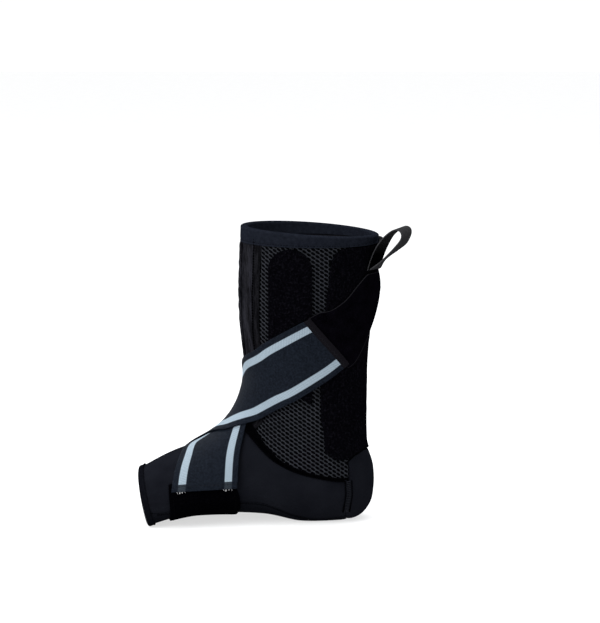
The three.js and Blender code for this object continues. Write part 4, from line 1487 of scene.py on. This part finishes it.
# Loose pale yarn ends under the stripes at the straps' lower ends
def frayed_ends():
    chance = random.Random(FRAY["seed"])
    thin = FRAY["radius"]
    places = []
    for word in SIDES.values():
        u, angle, lift = sewn["strap_" + word]
        for stripe in (-STRIPE["middle"], STRIPE["middle"]):
            for _ in range(FRAY["fibres"]):
                across = (stripe + chance.uniform(-1, 1) * FRAY["spread"]) / STRAP_WIDTH + 0.5
                k = round(across * (u.shape[1] - 1))
                root = Vector(raised(u[0, k], angle[0, k], lift[0, k] - FRAY["depth"]))
                away = Vector(shell(u[0, k], angle[0, k]) - shell(u[2, k], angle[2, k])).normalized()
                lean = Vector([chance.uniform(-FRAY["lean"], FRAY["lean"]) for _ in range(3)])
                axis = (away + lean).normalized()
                length = FRAY["length"] * chance.uniform(FRAY["shortest"], 1.0)
                place = Matrix.Translation(root + axis * length * FRAY["out"])
                turn = axis.to_track_quat("Z", "Y").to_matrix().to_4x4()
                size = Matrix.Diagonal((thin, thin, length, 1))
                places.append(Matrix.Scale(MM, 4) @ place @ turn @ size)
    return places


def tab_edging():
    places = []
    for word in SIDES.values():
        places += edge_stitches("hook_tab_" + word, "lr", 0, "tab")
    return places


STITCHED = {
    "seam_stitching": (boot_seams, SHADE_THREAD),
    "flat_seam_threads": (flat_seams, FLAT_THREAD),
    "tab_edging": (tab_edging, CUT_EDGE),
    "binding_stitching": (binding_seams, DARK_THREAD),
    "panel_stitching": (panel_seams, DARK_THREAD),
    "hem_stitching": (hem_seams, GREY_THREAD),
}


def make_stitching():
    for name, (rows, thread) in STITCHED.items():
        dress(name, repeated(stitch, rows()), [thread], "webbing")
    dress("strap_fray", repeated(fibre, frayed_ends()), [WHITE_THREAD], "elastic")


# Camera, light and floor

TARGET = Vector((-8, 0, 167.6)) * MM
CAMERA_DISTANCE = 2.4
CAMERA_RISE = math.radians(8)
FOCAL_PIXELS = 3000
FRAME_HEIGHT_PIXELS = 623
SENSOR = 36


def set_camera():
    data = bpy.data.cameras.new("photo_camera")
    data.sensor_fit = "VERTICAL"
    data.sensor_height = SENSOR
    data.lens = FOCAL_PIXELS * SENSOR / FRAME_HEIGHT_PIXELS
    camera = bpy.data.objects.new("photo_camera", data)
    away = Vector((0, -math.cos(CAMERA_RISE), math.sin(CAMERA_RISE)))
    camera.location = TARGET + away * CAMERA_DISTANCE
    camera.rotation_euler = (-away).to_track_quat("-Z", "Y").to_euler()
    bpy.context.scene.collection.objects.link(camera)
    bpy.context.scene.camera = camera


# Softboxes: place, size and power
SOFTBOXES = {
    "key_left": ((-1.7, -1.4, 1.3), 1.4, 60),
    "fill_right": ((1.7, -1.6, 1.0), 1.4, 5),
    "top": ((0.0, 0.2, 2.2), 2.0, 60),
    "rim_left": ((-1.5, 1.2, 0.9), 1.0, 20),
    "rim_right": ((1.5, 1.2, 0.9), 1.0, 4),
}
SKY_STRENGTH = 1.05


def set_lights():
    for name, (place, size, power) in SOFTBOXES.items():
        data = bpy.data.lights.new(name, "AREA")
        data.size = size
        data.energy = power
        light = bpy.data.objects.new(name, data)
        light.location = place
        light.rotation_euler = (TARGET - Vector(place)).to_track_quat("-Z", "Y").to_euler()
        bpy.context.scene.collection.objects.link(light)
    world = bpy.data.worlds.new("studio")
    world.use_nodes = True
    sky = world.node_tree.nodes["Background"]
    sky.inputs["Color"].default_value = rgb(1.0, 1.0, 1.0)
    sky.inputs["Strength"].default_value = SKY_STRENGTH
    bpy.context.scene.world = world
    bpy.context.scene.view_settings.view_transform = "Standard"


# Half width of the floor in metres, and its own light, which keeps the shadow on it pale
FLOOR_HALF = 6
FLOOR_GLOW = 0.635


def set_floor():
    bm = bmesh.new()
    bmesh.ops.create_grid(bm, x_segments=8, y_segments=8, size=FLOOR_HALF)
    look = Cloth("pale_floor", 0.9, 0.1)
    look.colour(look.drift(rgb(0.29, 0.295, 0.3), rgb(0.31, 0.315, 0.32)))
    look.shader.inputs["Emission Color"].default_value = rgb(1.0, 1.0, 1.0)
    look.shader.inputs["Emission Strength"].default_value = FLOOR_GLOW
    solid_object("floor", bm, [look.material])


make_boot()
make_shaft()
make_bindings()
make_sewn_pieces()
make_tabs()
make_straps()
make_loops()
make_net()
make_stitching()
set_camera()
set_lights()
set_floor()
